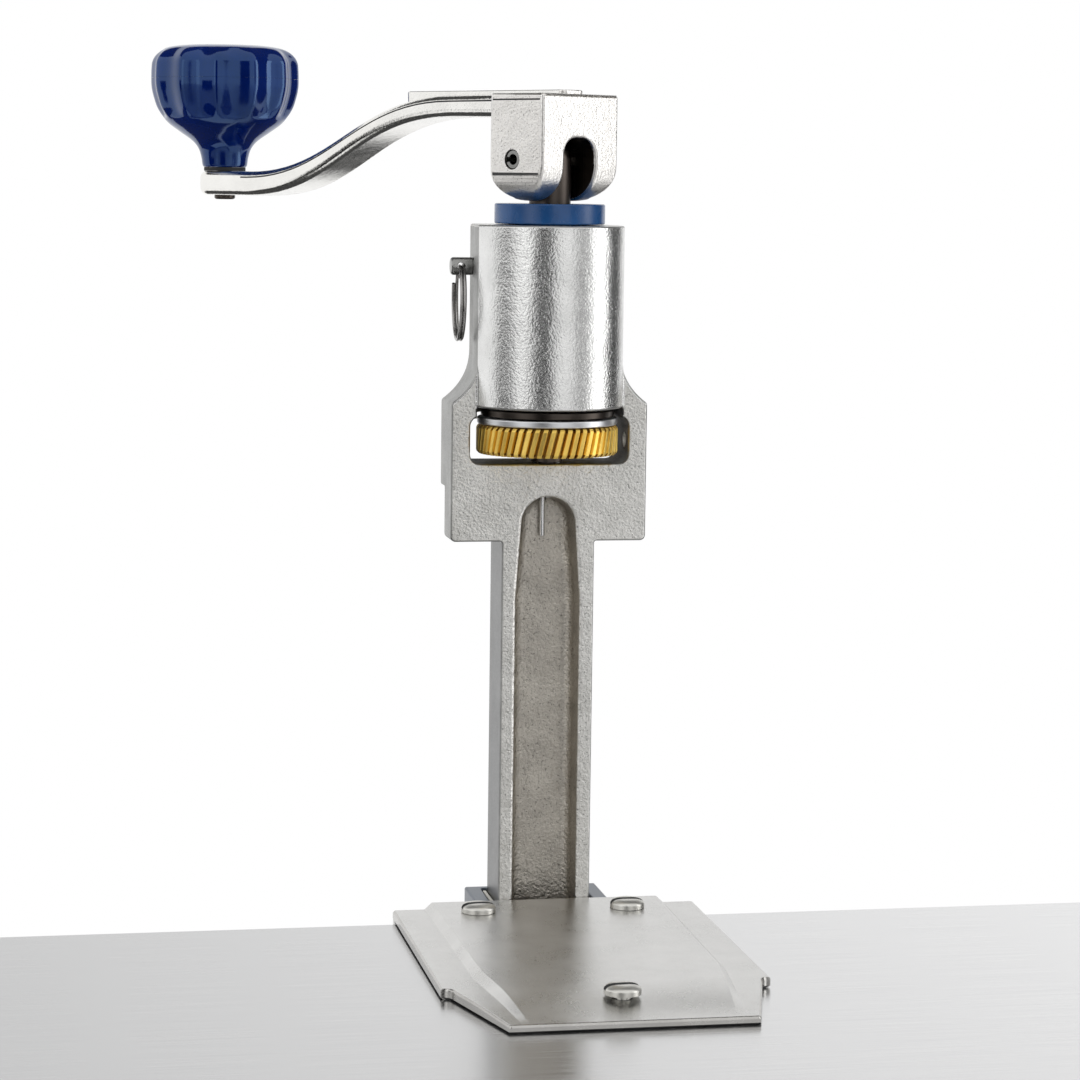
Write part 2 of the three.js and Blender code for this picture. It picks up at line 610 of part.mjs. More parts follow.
for (const [name, x] of knifeHolderScrewPlaces) {
  const { back, screwZ } = KNIFE_HOLDER;
  atArbor.add(piece(name, backScrew(x, screwZ, back, 13.5), 'darkSteel'));
}
atArbor.add(piece('knife', knifeBlade(), 'brightSteel'));
for (const [name, x] of knifeScrewPlaces) {
  atArbor.add(piece(name, backScrew(x, KNIFE.screwZ, KNIFE.back, 7), 'darkSteel'));
}
atArbor.add(piece('release_pin', releasePin(), 'brightSteel'));
atArbor.add(piece('pull_ring', pullRing(), 'brightSteel'));

const turning = new THREE.Group();
turning.rotation.z = THREE.MathUtils.degToRad(CRANK_ANGLE);
atArbor.add(turning);

turning.add(piece('arbor', arborShaft(), 'darkSteel'));
turning.add(piece('thrust_spacer', ring(
  ARBOR.seat + GAP, SPACER.radius, SPACER.bottom, SPACER.top,
), 'darkSteel'));
turning.add(piece('gear_disc', turned([
  [ARBOR.seat + GAP, DISC.bottom], [DISC.radius, DISC.bottom], [DISC.radius, DISC.top - 0.4],
  [DISC.radius - 0.4, DISC.top], [ARBOR.seat + GAP, DISC.top], [ARBOR.seat + GAP, DISC.bottom],
], 48), 'brightSteel'));
turning.add(piece('feed_gear', feedGear(), 'brass'));
turning.add(piece('crank_handle', crankHandle(), 'satinSteel'));
turning.add(piece('crank_pin', crossPin(), 'darkSteel'));

const atKnob = new THREE.Group();
atKnob.position.x = CRANK.throw;
turning.add(atKnob);

atKnob.add(piece('knob_stud', knobStud(), 'darkSteel'));
atKnob.add(piece('knob_washer', ring(STUD.tenon + GAP, 6.6, 217.2, 217.9, 24), 'blackRubber'));
atKnob.add(piece('knob_body', knobBody(), 'navyGloss'));
atKnob.add(piece('knob_cap', knobCap(), 'navyGloss'));

export default opener;
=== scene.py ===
# The looks of a bench can opener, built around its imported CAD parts.
# Shapes are made in millimetres, with the arbor's axis at x = y = 0, then scaled to metres and
# put in place.

import json
import math
from types import SimpleNamespace as Sizes

import bmesh
import bpy
from mathutils import Matrix, Vector


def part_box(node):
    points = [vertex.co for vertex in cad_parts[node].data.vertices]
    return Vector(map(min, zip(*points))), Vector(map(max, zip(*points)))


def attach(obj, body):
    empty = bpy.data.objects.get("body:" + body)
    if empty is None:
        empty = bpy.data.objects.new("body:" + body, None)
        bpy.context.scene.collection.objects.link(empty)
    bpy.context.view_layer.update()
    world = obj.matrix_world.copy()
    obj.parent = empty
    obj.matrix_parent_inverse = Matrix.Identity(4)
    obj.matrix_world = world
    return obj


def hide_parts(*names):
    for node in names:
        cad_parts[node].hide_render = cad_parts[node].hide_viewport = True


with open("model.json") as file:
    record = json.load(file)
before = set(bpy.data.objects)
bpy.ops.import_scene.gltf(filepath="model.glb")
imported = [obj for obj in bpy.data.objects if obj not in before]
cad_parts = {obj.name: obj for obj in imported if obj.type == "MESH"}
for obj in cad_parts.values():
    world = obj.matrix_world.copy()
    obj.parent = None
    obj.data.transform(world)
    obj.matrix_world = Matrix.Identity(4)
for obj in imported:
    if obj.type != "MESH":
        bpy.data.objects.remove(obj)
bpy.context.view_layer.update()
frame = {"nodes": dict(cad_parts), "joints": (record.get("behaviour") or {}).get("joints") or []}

# ---- places taken from the frame ----

METRES = Matrix.Scale(0.001, 4)


class Span:
    """A CAD node's box and its middle in millimetres, with y measured from the arbor's axis."""

    def __init__(self, node):
        low, high = (corner * 1000 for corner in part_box(node))
        self.x0, self.y0, self.z0 = low.x, low.y - AXIS.y, low.z
        self.x1, self.y1, self.z1 = high.x, high.y - AXIS.y, high.z
        self.x = (self.x0 + self.x1) / 2
        self.y = (self.y0 + self.y1) / 2
        self.z = (self.z0 + self.z1) / 2


def joint_place(name):
    joint = next(each for each in frame["joints"] if each["name"] == name)
    return Vector(joint["pos_m"]) * 1000


AXIS = joint_place("arbor_spin")
AXIS.z = 0
KNOB_PLACE = joint_place("knob_spin") - AXIS
PIVOT_Z = joint_place("crank_fold").z
THROW = math.hypot(KNOB_PLACE.x, KNOB_PLACE.y)
CRANK_ANGLE = math.atan2(KNOB_PLACE.y, KNOB_PLACE.x)

AT_ARBOR = Matrix.Translation(AXIS)
AT_CRANK = AT_ARBOR @ Matrix.Rotation(CRANK_ANGLE, 4, "Z")
AT_KNOB = AT_CRANK @ Matrix.Translation((THROW, 0, 0))

# ---- outlines ----


def arc(cx, cy, radius, start, end, steps=8):
    if radius == 0:
        return [(cx, cy)]
    angles = [math.radians(start + (end - start) * i / steps) for i in range(steps + 1)]
    return [(cx + radius * math.cos(a), cy + radius * math.sin(a)) for a in angles]


def rounded(x0, x1, y0, y1, radii, steps=8):
    """A rectangle with a radius for each corner, from the lower left, counter-clockwise."""
    r00, r10, r11, r01 = radii
    return (
        arc(x0 + r00, y0 + r00, r00, 180, 270, steps)
        + arc(x1 - r10, y0 + r10, r10, -90, 0, steps)
        + arc(x1 - r11, y1 - r11, r11, 0, 90, steps)
        + arc(x0 + r01, y1 - r01, r01, 90, 180, steps)
    )


def bezier(a, b, c, d, steps=24):
    points = []
    for i in range(1, steps + 1):
        t = i / steps
        s = 1 - t
        weights = (s**3, 3 * s * s * t, 3 * s * t * t, t**3)
        points.append(tuple(sum(w * p[k] for w, p in zip(weights, (a, b, c, d))) for k in (0, 1)))
    return points


# ---- mesh forms ----


def new_object(points, faces):
    mesh = bpy.data.meshes.new("form")
    mesh.from_pydata([tuple(p) for p in points], [], faces)
    shape = bmesh.new()
    shape.from_mesh(mesh)
    bmesh.ops.remove_doubles(shape, verts=shape.verts, dist=1e-4)
    bmesh.ops.recalc_face_normals(shape, faces=shape.faces)
    shape.to_mesh(mesh)
    shape.free()
    form = bpy.data.objects.new("form", mesh)
    bpy.context.scene.collection.objects.link(form)
    return form


def loft(loops, wrapped=False):
    """Joins loops of equally many points; unless it is wrapped round, it gets end caps."""
    count = len(loops[0])
    points = [point for loop in loops for point in loop]
    pairs = [(i, i + 1) for i in range(len(loops) - 1)]
    if wrapped:
        pairs.append((len(loops) - 1, 0))
    faces = [
        (a * count + i, a * count + (i + 1) % count, b * count + (i + 1) % count, b * count + i)
        for a, b in pairs
        for i in range(count)
    ]
    if not wrapped:
        faces += [tuple(range(count)), tuple(range((len(loops) - 1) * count, len(loops) * count))]
    return new_object(points, faces)


def raised(outline, z0, z1):
    """A plan outline (x, y) raised from z0 to z1."""
    return loft([[(x, y, z) for x, y in outline] for z in (z0, z1)])


def across(outline, y0, y1):
    """A front outline (x, z) given depth from y0 to y1."""
    return loft([[(x, y, z) for x, z in outline] for y in (y0, y1)])


def along(outline, x0, x1):
    """A side outline (y, z) given length from x0 to x1."""
    return loft([[(x, y, z) for y, z in outline] for x in (x0, x1)])


def box(x0, x1, y0, y1, z0, z1):
    return raised([(x0, y0), (x1, y0), (x1, y1), (x0, y1)], z0, z1)


def round_loop(radius, z, sides):
    turns = [2 * math.pi * i / sides for i in range(sides)]
    return [(radius * math.cos(a), radius * math.sin(a), z) for a in turns]


def lathe(profile, sides=64, tube=False):
    """Turns [radius, z] points about Z; a tube's profile closes on itself."""
    return loft([round_loop(radius, z, sides) for radius, z in profile], wrapped=tube)


def ring(inner, outer, z0, z1, sides=64):
    return lathe([(inner, z0), (outer, z0), (outer, z1), (inner, z1)], sides, tube=True)


def lathe_along(profile, start, direction, sides=48):
    """A turned form whose axis starts at a point and runs in a direction."""
    form = lathe(profile, sides)
    turn = Vector(direction).to_track_quat("Z", "Y").to_matrix().to_4x4()
    form.data.transform(Matrix.Translation(start) @ turn)
    return form


def rod(radius, start, end, sides=32):
    """A round rod between two points."""
    line = Vector(end) - Vector(start)
    return lathe_along([(radius, 0), (radius, line.length)], start, line, sides)


def pair_of_holes(radius, place, y0, y1, sides=32):
    """Two rods along Y, at an (x, z) place and its mirror image."""
    x, z = place
    return [rod(radius, (side * x, y0, z), (side * x, y1, z), sides) for side in (-1, 1)]


def sweep(path, radius, sides=12):
    """A round wire along a path of points."""
    path = [Vector(p) for p in path]
    side = Vector((1, 0, 0))
    loops = []
    for i, point in enumerate(path):
        ahead = (path[min(i + 1, len(path) - 1)] - path[max(i - 1, 0)]).normalized()
        side = (side - ahead * side.dot(ahead)).normalized()
        other = ahead.cross(side)
        angles = [2 * math.pi * k / sides for k in range(sides)]
        loops.append([point + radius * (math.cos(a) * side + math.sin(a) * other) for a in angles])
    return loft(loops)


# ---- joins, cuts and rounding ----


def bake(form):
    """Replaces a form's mesh by the one its modifiers make."""
    graph = bpy.context.evaluated_depsgraph_get()
    made = bpy.data.meshes.new_from_object(form.evaluated_get(graph))
    form.modifiers.clear()
    old, form.data = form.data, made
    bpy.data.meshes.remove(old)
    return form


def combine(operation, form, others):
    for other in others:
        modifier = form.modifiers.new("boolean", "BOOLEAN")
        modifier.operation = operation
        modifier.solver = "EXACT"
        modifier.object = other
        bpy.context.view_layer.update()
        bake(form)
        bpy.data.objects.remove(other)
    return form


def join(form, *others):
    return combine("UNION", form, others)


def cut(form, *others):
    return combine("DIFFERENCE", form, others)


def common(form, *others):
    return combine("INTERSECT", form, others)


def flatten(form):
    """Merges the faces that lie in one plane."""
    shape = bmesh.new()
    shape.from_mesh(form.data)
    bmesh.ops.remove_doubles(shape, verts=shape.verts, dist=1e-3)
    bmesh.ops.dissolve_limit(
        shape, angle_limit=math.radians(0.3), verts=shape.verts, edges=shape.edges,
        delimit={"MATERIAL"},
    )
    shape.to_mesh(form.data)
    shape.free()


def soften(form, width, segments=3, angle=32):
    """Rounds the edges that are sharper than the angle."""
    flatten(form)
    modifier = form.modifiers.new("round", "BEVEL")
    modifier.width = width
    modifier.segments = segments
    modifier.limit_method = "ANGLE"
    modifier.angle_limit = math.radians(angle)
    modifier.use_clamp_overlap = False
    modifier.miter_outer = "MITER_ARC"
    return bake(form)


def shade(form):
    """Smooth shading that keeps edges over 40 degrees sharp."""
    form.data.shade_smooth()
    form.data.set_sharp_from_angle(angle=math.radians(40))
    modifier = form.modifiers.new("normals", "WEIGHTED_NORMAL")
    modifier.keep_sharp = True
    modifier.weight = 60
    bake(form)


def paint(form, material, chosen):
    """Gives the faces whose centre and normal are chosen a material of their own."""
    form.data.materials.append(material)
    index = len(form.data.materials) - 1
    for face in form.data.polygons:
        if chosen(face.center, face.normal):
            face.material_index = index


def settle(form, name, body, material, replaced, place=AT_ARBOR, patches=()):
    """Shades, paints and places a finished form, and lets it ride on its body."""
    form.data.materials.clear()
    form.data.materials.append(material)
    for patch in patches:
        paint(form, *patch)
    shade(form)
    form.name = form.data.name = name
    form.data.transform(METRES @ place)
    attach(form, body)
    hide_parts(*replaced)


# ---- materials ----


def grey(value):
    return (value, value, value)


class Finish:
    """A node material in the making; its textures lie in the object's own coordinates."""

    def __init__(self, name, metallic, specular=0.5):
        self.material = bpy.data.materials.new(name)
        self.material.use_nodes = True
        self.tree = self.material.node_tree
        self.shader = self.tree.nodes["Principled BSDF"]
        self.shader.inputs["Metallic"].default_value = metallic
        self.shader.inputs["Specular IOR Level"].default_value = specular
        self.place = self.node("ShaderNodeTexCoord").outputs["Object"]
        self.bumps = None

    def link(self, source, target):
        self.tree.links.new(source, target)

    def node(self, kind, inputs=(), **settings):
        """A new node; an input takes a value, or the output that it is linked to."""
        made = self.tree.nodes.new(kind)
        for key, value in settings.items():
            setattr(made, key, value)
        for key, value in dict(inputs).items():
            if isinstance(value, bpy.types.NodeSocket):
                self.link(value, made.inputs[key])
            else:
                made.inputs[key].default_value = value
        return made

    def noise(self, size, detail, stretch=(1, 1, 1)):
        """Noise with features of a size in millimetres, stretched along the axes."""
        scale = [1000 / (size * s) for s in stretch]
        mapping = self.node("ShaderNodeMapping", {"Vector": self.place, "Scale": scale})
        return self.node("ShaderNodeTexNoise", {
            "Vector": mapping.outputs["Vector"], "Scale": 1, "Detail": detail, "Roughness": 0.55,
        }).outputs["Fac"]

    def circles(self, size):
        """Fine rings about the arbor's axis, as a lathe leaves them."""
        place = [-value * 0.001 for value in AXIS]
        place = self.node("ShaderNodeMapping", {"Vector": self.place, "Location": place}).outputs[0]
        flat = self.node("ShaderNodeVectorMath", {0: place, 1: (1, 1, 0)}, operation="MULTIPLY")
        length = self.node("ShaderNodeVectorMath", {0: flat.outputs["Vector"]}, operation="LENGTH")
        return self.node("ShaderNodeTexNoise", {
            "W": length.outputs["Value"], "Scale": 1000 / size, "Detail": 2,
        }, noise_dimensions="1D").outputs["Fac"]

    def ramp(self, source, stops):
        """Colours or greys along a source, as [place, colour] stops."""
        made = self.node("ShaderNodeValToRGB", {"Fac": source})
        for element, (place, colour) in zip(made.color_ramp.elements, stops):
            element.position = place
            element.color = (*colour, 1)
        return made.outputs["Color"]

    def mix(self, share, first, second, blend="MIX"):
        return self.node(
            "ShaderNodeMix", {"Factor": share, "A": first, "B": second},
            data_type="RGBA", blend_type=blend,
        ).outputs["Result"]

    def spread(self, source, low, high, start=0.3, end=0.7):
        return self.node("ShaderNodeMapRange", {
            "Value": source, "From Min": start, "From Max": end, "To Min": low, "To Max": high,
        }).outputs["Result"]

    def colour(self, source):
        self.link(source, self.shader.inputs["Base Color"])

    def rough(self, source):
        self.link(source, self.shader.inputs["Roughness"])

    def bump(self, source, height):
        """Relief of a height in millimetres, on top of the relief so far."""
        made = self.node("ShaderNodeBump", {
            "Height": source, "Distance": height * 0.001, "Strength": 1,
        })
        if self.bumps:
            self.link(self.bumps, made.inputs["Normal"])
        self.bumps = made.outputs["Normal"]
        self.link(self.bumps, self.shader.inputs["Normal"])


def cast_metal(name, light, dark, rough, grain, relief, speckle=0.0):
    """A cast surface: grainy relief, cloudy colour and, with speckle, small dark pits."""
    made = Finish(name, 1)
    fine = made.noise(grain, 3)
    cloud = made.noise(9, 3)
    colour = made.ramp(cloud, [(0.3, dark), (0.7, light)])
    if speckle:
        pits = made.ramp(made.noise(grain * 0.8, 2), [(0.30, grey(speckle)), (0.40, grey(1))])
        colour = made.mix(1.0, colour, pits, "MULTIPLY")
    made.colour(colour)
    made.rough(made.spread(fine, rough[0], rough[1]))
    made.bump(made.noise(6, 2), relief * 1.2)
    made.bump(fine, relief)
    return made.material


def brushed_metal(name, light, dark, rough, stretch, relief=0.006):
    """Rolled or ground metal with fine marks along one axis."""
    made = Finish(name, 1)
    marks = made.noise(0.25, 3, stretch)
    cloud = made.noise(12, 4)
    made.colour(made.ramp(cloud, [(0.3, dark), (0.72, light)]))
    made.rough(made.spread(made.mix(0.5, marks, cloud), rough[0], rough[1]))
    made.bump(marks, relief)
    return made.material


def turned_metal(name, light, dark, rough):
    """Metal with the fine rings of a lathe tool about the arbor's axis."""
    made = Finish(name, 1)
    rings = made.circles(0.35)
    cloud = made.noise(7, 3)
    made.colour(made.ramp(made.mix(0.5, rings, cloud), [(0.3, dark), (0.7, light)]))
    made.rough(made.spread(rings, rough[0], rough[1]))
    made.bump(rings, 0.006)
    return made.material


def plastic(name, light, dark, rough, relief, grain=0.8, specular=0.5, tint=(1, 1, 1)):
    """Moulded plastic: a little cloudy, with uneven gloss and a faint skin relief."""
    made = Finish(name, 0, specular)
    made.colour(made.ramp(made.noise(14, 3), [(0.3, dark), (0.7, light)]))
    made.rough(made.spread(made.noise(5, 4), rough[0], rough[1]))
    made.bump(made.noise(grain, 2), relief)
    made.shader.inputs["Specular Tint"].default_value = (*tint, 1)
    return made.material


CAST = cast_metal(
    "cast_grey", (0.82, 0.81, 0.78), (0.70, 0.69, 0.66), (0.28, 0.42), 0.75, 0.32, 0.45,
)
HOUSING_SKIN = cast_metal(
    "cast_burnished", (0.82, 0.82, 0.81), (0.72, 0.72, 0.71), (0.19, 0.28), 0.7, 0.13,
)
# The channel: the same casting painted darker and warmer, a painted shade in the recess with a
# painted brownish reflection.
CHANNEL_SHADE = cast_metal(
    "cast_channel_painted_shade", (0.60, 0.565, 0.505), (0.46, 0.43, 0.385), (0.28, 0.42), 0.8, 0.34, 0.5,
)
# The bar's sides below the head: the same casting painted dark grey, a painted shade on the sides
# turned from the light.
BAR_SIDE_SHADE = cast_metal("cast_side_painted_shade", grey(0.27), grey(0.22), (0.36, 0.46), 0.5, 0.01)
# The head's sides: the same casting painted darker, a painted shade on the sides turned from the
# light.
HEAD_SIDE_SHADE = cast_metal(
    "cast_head_side_painted_shade", (0.40, 0.40, 0.39), (0.30, 0.30, 0.29), (0.32, 0.44), 0.7, 0.15,
)
# A darker copy of the casting for the rounded edges: a painted dark reflection along the head, bar
# and housing rims.
EDGE_DARK_REFLECTION = cast_metal("cast_edge_painted_dark_reflection", (0.42, 0.42, 0.41), (0.30, 0.30, 0.29), (0.3, 0.42), 0.7, 0.08)
# The window's inner walls: a dark matt grey on the casting, painted shade inside the window.
WINDOW_SHADE = plastic(
    "cast_window_painted_shade", (0.13, 0.13, 0.125), (0.06, 0.06, 0.058), (0.6, 0.8), 0.08, 0.8, specular=0.12,
)
# Near black for the crank's side lines, the plate's undercut and the screw slots: painted shade in
# grooves and under edges.
CREVICE_SHADE = plastic("painted_crevice_shade", grey(0.10), grey(0.05), (0.6, 0.8), 0.02, 0.8, specular=0.12)
CRANK_SKIN = cast_metal(
    "crank_satin", (0.92, 0.90, 0.87), (0.84, 0.82, 0.79), (0.28, 0.40), 0.65, 0.11, 0.45,
)
ARM_SKIN = cast_metal("crank_arm", (0.92, 0.91, 0.88), (0.84, 0.83, 0.80), (0.12, 0.2), 0.8, 0.035)
PLATE_SKIN = brushed_metal(
    "plate_satin", (0.70, 0.695, 0.68), (0.57, 0.565, 0.55), (0.24, 0.36), (3, 2, 2), 0.05,
)
# The plate's side walls and front edge: a darker copy of the plate, painted shade on the walls,
# with their own brushing along the edge.
PLATE_EDGE_SHADE = brushed_metal(
    "plate_edge_painted_shade", (0.56, 0.55, 0.53), (0.44, 0.43, 0.41), (0.2, 0.3), (4, 1, 1), 0.02,
)
GUIDE_SKIN = brushed_metal(
    "guide_grey", (0.15, 0.17, 0.20), (0.10, 0.115, 0.14), (0.28, 0.4), (1, 1, 40),
)
SPRING = brushed_metal(
    "spring_steel", (0.42, 0.41, 0.40), (0.30, 0.29, 0.28), (0.2, 0.3), (1, 1, 20),
)
BRIGHT = brushed_metal("bright_steel", grey(0.80), grey(0.68), (0.14, 0.24), (1, 30, 1))
GROUND = brushed_metal(
    "ground_steel", (0.36, 0.36, 0.35), (0.26, 0.26, 0.25), (0.2, 0.32), (1, 1, 50),
)
SCREW_SKIN = brushed_metal(
    "screw_steel", (0.78, 0.77, 0.73), (0.60, 0.59, 0.55), (0.34, 0.44), (25, 1, 1), 0.02,
)
DISC_SKIN = turned_metal("turned_bright", (0.80, 0.81, 0.83), (0.64, 0.65, 0.67), (0.3, 0.4))
# Dark turned steel for the arbor, spacer and stud, kept this dark partly as painted shade where
# they sit in shadow; it also paints shade into the crank's slot.
DARK_TURNED_AND_SHADE = turned_metal("turned_dark_and_painted_shade", (0.10, 0.085, 0.075), (0.05, 0.042, 0.036), (0.28, 0.42))
BRONZE = turned_metal("bronze_bush", (0.45, 0.24, 0.09), (0.30, 0.15, 0.05), (0.35, 0.5))
BRASS = cast_metal("brass_land", (1.0, 0.72, 0.19), (0.88, 0.58, 0.12), (0.32, 0.44), 0.5, 0.03)
# Darker brass at the roots of the gear's teeth: painted shade in the tooth gaps.
BRASS_GAP_SHADE = cast_metal(
    "brass_painted_gap_shade", (0.42, 0.24, 0.05), (0.28, 0.14, 0.025), (0.35, 0.5), 0.6, 0.012,
)
BLACK_OXIDE = cast_metal(
    "black_oxide", (0.07, 0.07, 0.075), (0.035, 0.035, 0.04), (0.34, 0.5), 0.5, 0.01,
)
NAVY = plastic(
    "navy_gloss", (0.0005, 0.011, 0.12), (0.0003, 0.006, 0.075), (0.06, 0.12), 0.008, 3,
    specular=1.0, tint=(0.35, 0.62, 1.0),
)
COLLAR_BLUE = plastic("collar_blue", (0.006, 0.075, 0.24), (0.003, 0.04, 0.14), (0.18, 0.34), 0.02)
NYLON = plastic("white_nylon", (0.74, 0.72, 0.66), (0.62, 0.60, 0.54), (0.45, 0.6), 0.02)
RUBBER = plastic(
    "black_rubber", (0.02, 0.02, 0.022), (0.012, 0.012, 0.013), (0.55, 0.75), 0.03, 0.4,
)

# ---- camera, light and table ----


def add_camera():
    data = bpy.data.cameras.new("camera")
    data.lens = 104.3
    data.clip_start, data.clip_end = 0.05, 30
    camera = bpy.data.objects.new("camera", data)
    bpy.context.scene.collection.objects.link(camera)
    place = (-0.1723, -0.8229, 0.2167)
    heading, tilt, roll = math.radians(10.82), math.radians(6.64), math.radians(0.73)
    turn = Matrix.Rotation(-heading, 4, "Z") @ Matrix.Rotation(math.radians(90) - tilt, 4, "X")
    camera.matrix_world = Matrix.Translation(place) @ turn @ Matrix.Rotation(roll, 4, "Z")
    bpy.context.scene.camera = camera


def add_softbox(name, azimuth, width, power):
    """A soft area light at an azimuth round the object: 0 is in front, 90 to the right."""
    height, distance, tall, target_z = 0.25, 1.5, 1.5, 0.12
    data = bpy.data.lights.new(name, "AREA")
    data.shape = "RECTANGLE"
    data.size, data.size_y = width, tall
    data.energy = power
    light = bpy.data.objects.new(name, data)
    bpy.context.scene.collection.objects.link(light)
    turn = math.radians(azimuth)
    target = Vector((0, AXIS.y * 0.001, target_z))
    away = Vector((math.sin(turn) * distance, -math.cos(turn) * distance, height))
    light.location = target + away
    light.rotation_euler = (light.location - target).to_track_quat("Z", "Y").to_euler()
    light.visible_camera = False


def add_flag(name, place, turn, width, tall, shade_value):
    """A dark card in the studio, which metal needs for its contrast; only reflections show it."""
    form = box(-width / 2, width / 2, -0.005, 0.005, -tall / 2, tall / 2)
    form.name = form.data.name = name
    form.location = place
    form.rotation_euler = turn
    card = Finish(name, 0, 0)
    stops = [(0, grey(shade_value)), (1, grey(shade_value * 1.3))]
    card.colour(card.ramp(card.noise(200, 3), stops))
    form.data.materials.append(card.material)
    form.visible_camera = form.visible_shadow = form.visible_diffuse = False


def add_standing_flag(name, azimuth, distance, width, shade_value, top=1.4):
    """An upright dark card at an azimuth, facing the object."""
    turn, tall = math.radians(azimuth), 1.7
    place = (math.sin(turn) * distance, -math.cos(turn) * distance, top - tall / 2)
    add_flag(name, place, (0, 0, turn), width, tall, shade_value)


def add_table():
    """The steel table top that the base is screwed to; the lip hangs over its rear edge."""
    lip_front = AXIS.y * 0.001 - 0.0088
    half, front, thick = 1.3, -1.5, 0.04
    form = box(-half, half, front, lip_front, -thick, 0)
    form.name = form.data.name = "table_top"
    soften(form, 0.002)
    steel = Finish("table_steel", 1)
    marks = steel.noise(0.5, 4, (90, 1, 1))
    axes = steel.node("ShaderNodeSeparateXYZ", {"Vector": steel.place})
    # Darker to the left and lighter to the right: a painted fall of light across the table top.
    left_to_right = steel.spread(axes.outputs["X"], 0, 1, -0.3, 0.3)
    painted_light_falloff = steel.ramp(left_to_right, [(0, grey(0.42)), (1, grey(0.97))])
    grain = steel.ramp(marks, [(0.3, (0.84, 0.84, 0.85)), (0.7, grey(1))])
    steel.colour(steel.mix(1.0, painted_light_falloff, grain, "MULTIPLY"))
    steel.rough(steel.spread(marks, 0.16, 0.28))
    steel.bump(marks, 0.012)
    form.data.materials.append(steel.material)


def add_world():
    world = bpy.data.worlds.new("studio")
    bpy.context.scene.world = world
    world.use_nodes = True
    backdrop = world.node_tree.nodes["Background"]
    backdrop.inputs["Color"].default_value = (1, 1, 1, 1)
    backdrop.inputs["Strength"].default_value = 1.0


def add_studio():
    bpy.context.scene.view_settings.view_transform = "Standard"
    add_world()
    add_softbox("softbox_left", -50, 0.3, 0.8)
    add_softbox("softbox_right", 76, 0.5, 4)
    add_standing_flag("flag_front", -19, 1.9, 0.95, 0.01)
    add_standing_flag("flag_front_grey", 44, 1.9, 0.7, 0.3)
    add_standing_flag("flag_left", -84, 1.3, 0.72, 0.01, 0.21)
    add_standing_flag("flag_right", 110, 1.3, 0.95, 0.04)
    flat = (math.pi / 2, 0, 0)
    add_flag("flag_over", (0, 1.0, 1.5), flat, 3.2, 1.5, 0.05)
    add_flag("flag_under", (0, 0.75, -0.5), flat, 2.4, 1.1, 0.05)
    add_table()


# ---- the casting: bar, head and housing ----

CASTING = Span("bar_casting")
BAR = Sizes(half=13.7, front=-4.5, back=CASTING.y1, bottom=CASTING.z0, top=127)
CHANNEL = Sizes(half=9.4, depth=8.5, fillet=3.4, arch_top=124, arch_half=7.9)
CHANNEL_FLARE = Sizes(top=116, end=94)
HEAD = Sizes(
    half=CASTING.x1, bottom=111, step=126, step_back=7.5, shoulder=151.2,
    flare=166,
)
HOUSING = Sizes(radius=-CASTING.y0, bottom=150, top=CASTING.z1, half=20.8)
WINDOW = Sizes(half=23.3, bottom=133.6, top=147.4, corner=3)
BORE = Sizes(low=9.8, high=11, step=170.4)
HOLDER_BOLT, BLADE_BOLT = (14.5, 172), (5.5, 161)
PIN_HOLE = 2.9
FLOOR_Y = BAR.front + CHANNEL.depth


def head_outline():
    """The head's front view: straight sides that flare in to the housing's width."""
    half, neck, control = HEAD.half, HOUSING.half, HEAD.flare - 9
    curve = []
    for i in range(13):
        t = i / 12
        s = 1 - t
        x = s * s * half + 2 * s * t * neck + t * t * neck
        z = s * s * HEAD.shoulder + 2 * s * t * control + t * t * HEAD.flare
        curve.append((x, z))
    right = [(half, HEAD.step), *curve, (neck, HOUSING.top)]
    return right + [(-x, z) for x, z in reversed(right)]


def channel_loop(inset, y, below):
    """The channel's outline, drawn in by an inset as it gets deeper."""
    half, narrow = CHANNEL.half - inset, CHANNEL.arch_half - inset
    rise = CHANNEL.arch_top - CHANNEL_FLARE.top - inset
    turns = [math.pi * i / 24 for i in range(25)]
    arch = [(narrow * math.cos(a), CHANNEL_FLARE.top + rise * math.sin(a)) for a in turns]
    end = CHANNEL_FLARE.end
    outline = [(-half, below), (half, below), (half, end), *arch, (-half, end)]
    return [(x, y, z) for x, z in outline]


def channel_tool():
    """The channel's solid form: drafted sides, and a fillet along the floor."""
    fillet, below, draft = CHANNEL.fillet, BAR.bottom - 5, 0.5
    loops = [
        channel_loop(-0.6, BAR.front - 1, below),
        channel_loop(0, BAR.front + 1, below),
        channel_loop(draft, FLOOR_Y - fillet, below),
    ]
    for i in range(1, 7):
        turn = math.pi / 2 * i / 6
        inset = draft + fillet * (1 - math.cos(turn))
        loops.append(channel_loop(inset, FLOOR_Y - fillet + fillet * math.sin(turn), below))
    return loft(loops)


def casting_blank():
    bar = box(-BAR.half, BAR.half, BAR.front, BAR.back, BAR.bottom, BAR.top)
    lower = across(
        rounded(-HEAD.half, HEAD.half, HEAD.bottom, HEAD.step + 1, (1.6, 1.6, 0, 0)),
        BAR.front, HEAD.step_back,
    )
    head = across(head_outline(), BAR.front, BAR.back)
    radius, bottom, top = HOUSING.radius, HOUSING.bottom, HOUSING.top
    cylinder, reach = lathe([(radius, bottom), (radius, top)], 128), radius + 1
    housing = common(cylinder, box(-reach, reach, -reach, BAR.back, bottom - 1, top + 1))
    return join(bar, lower, head, housing)


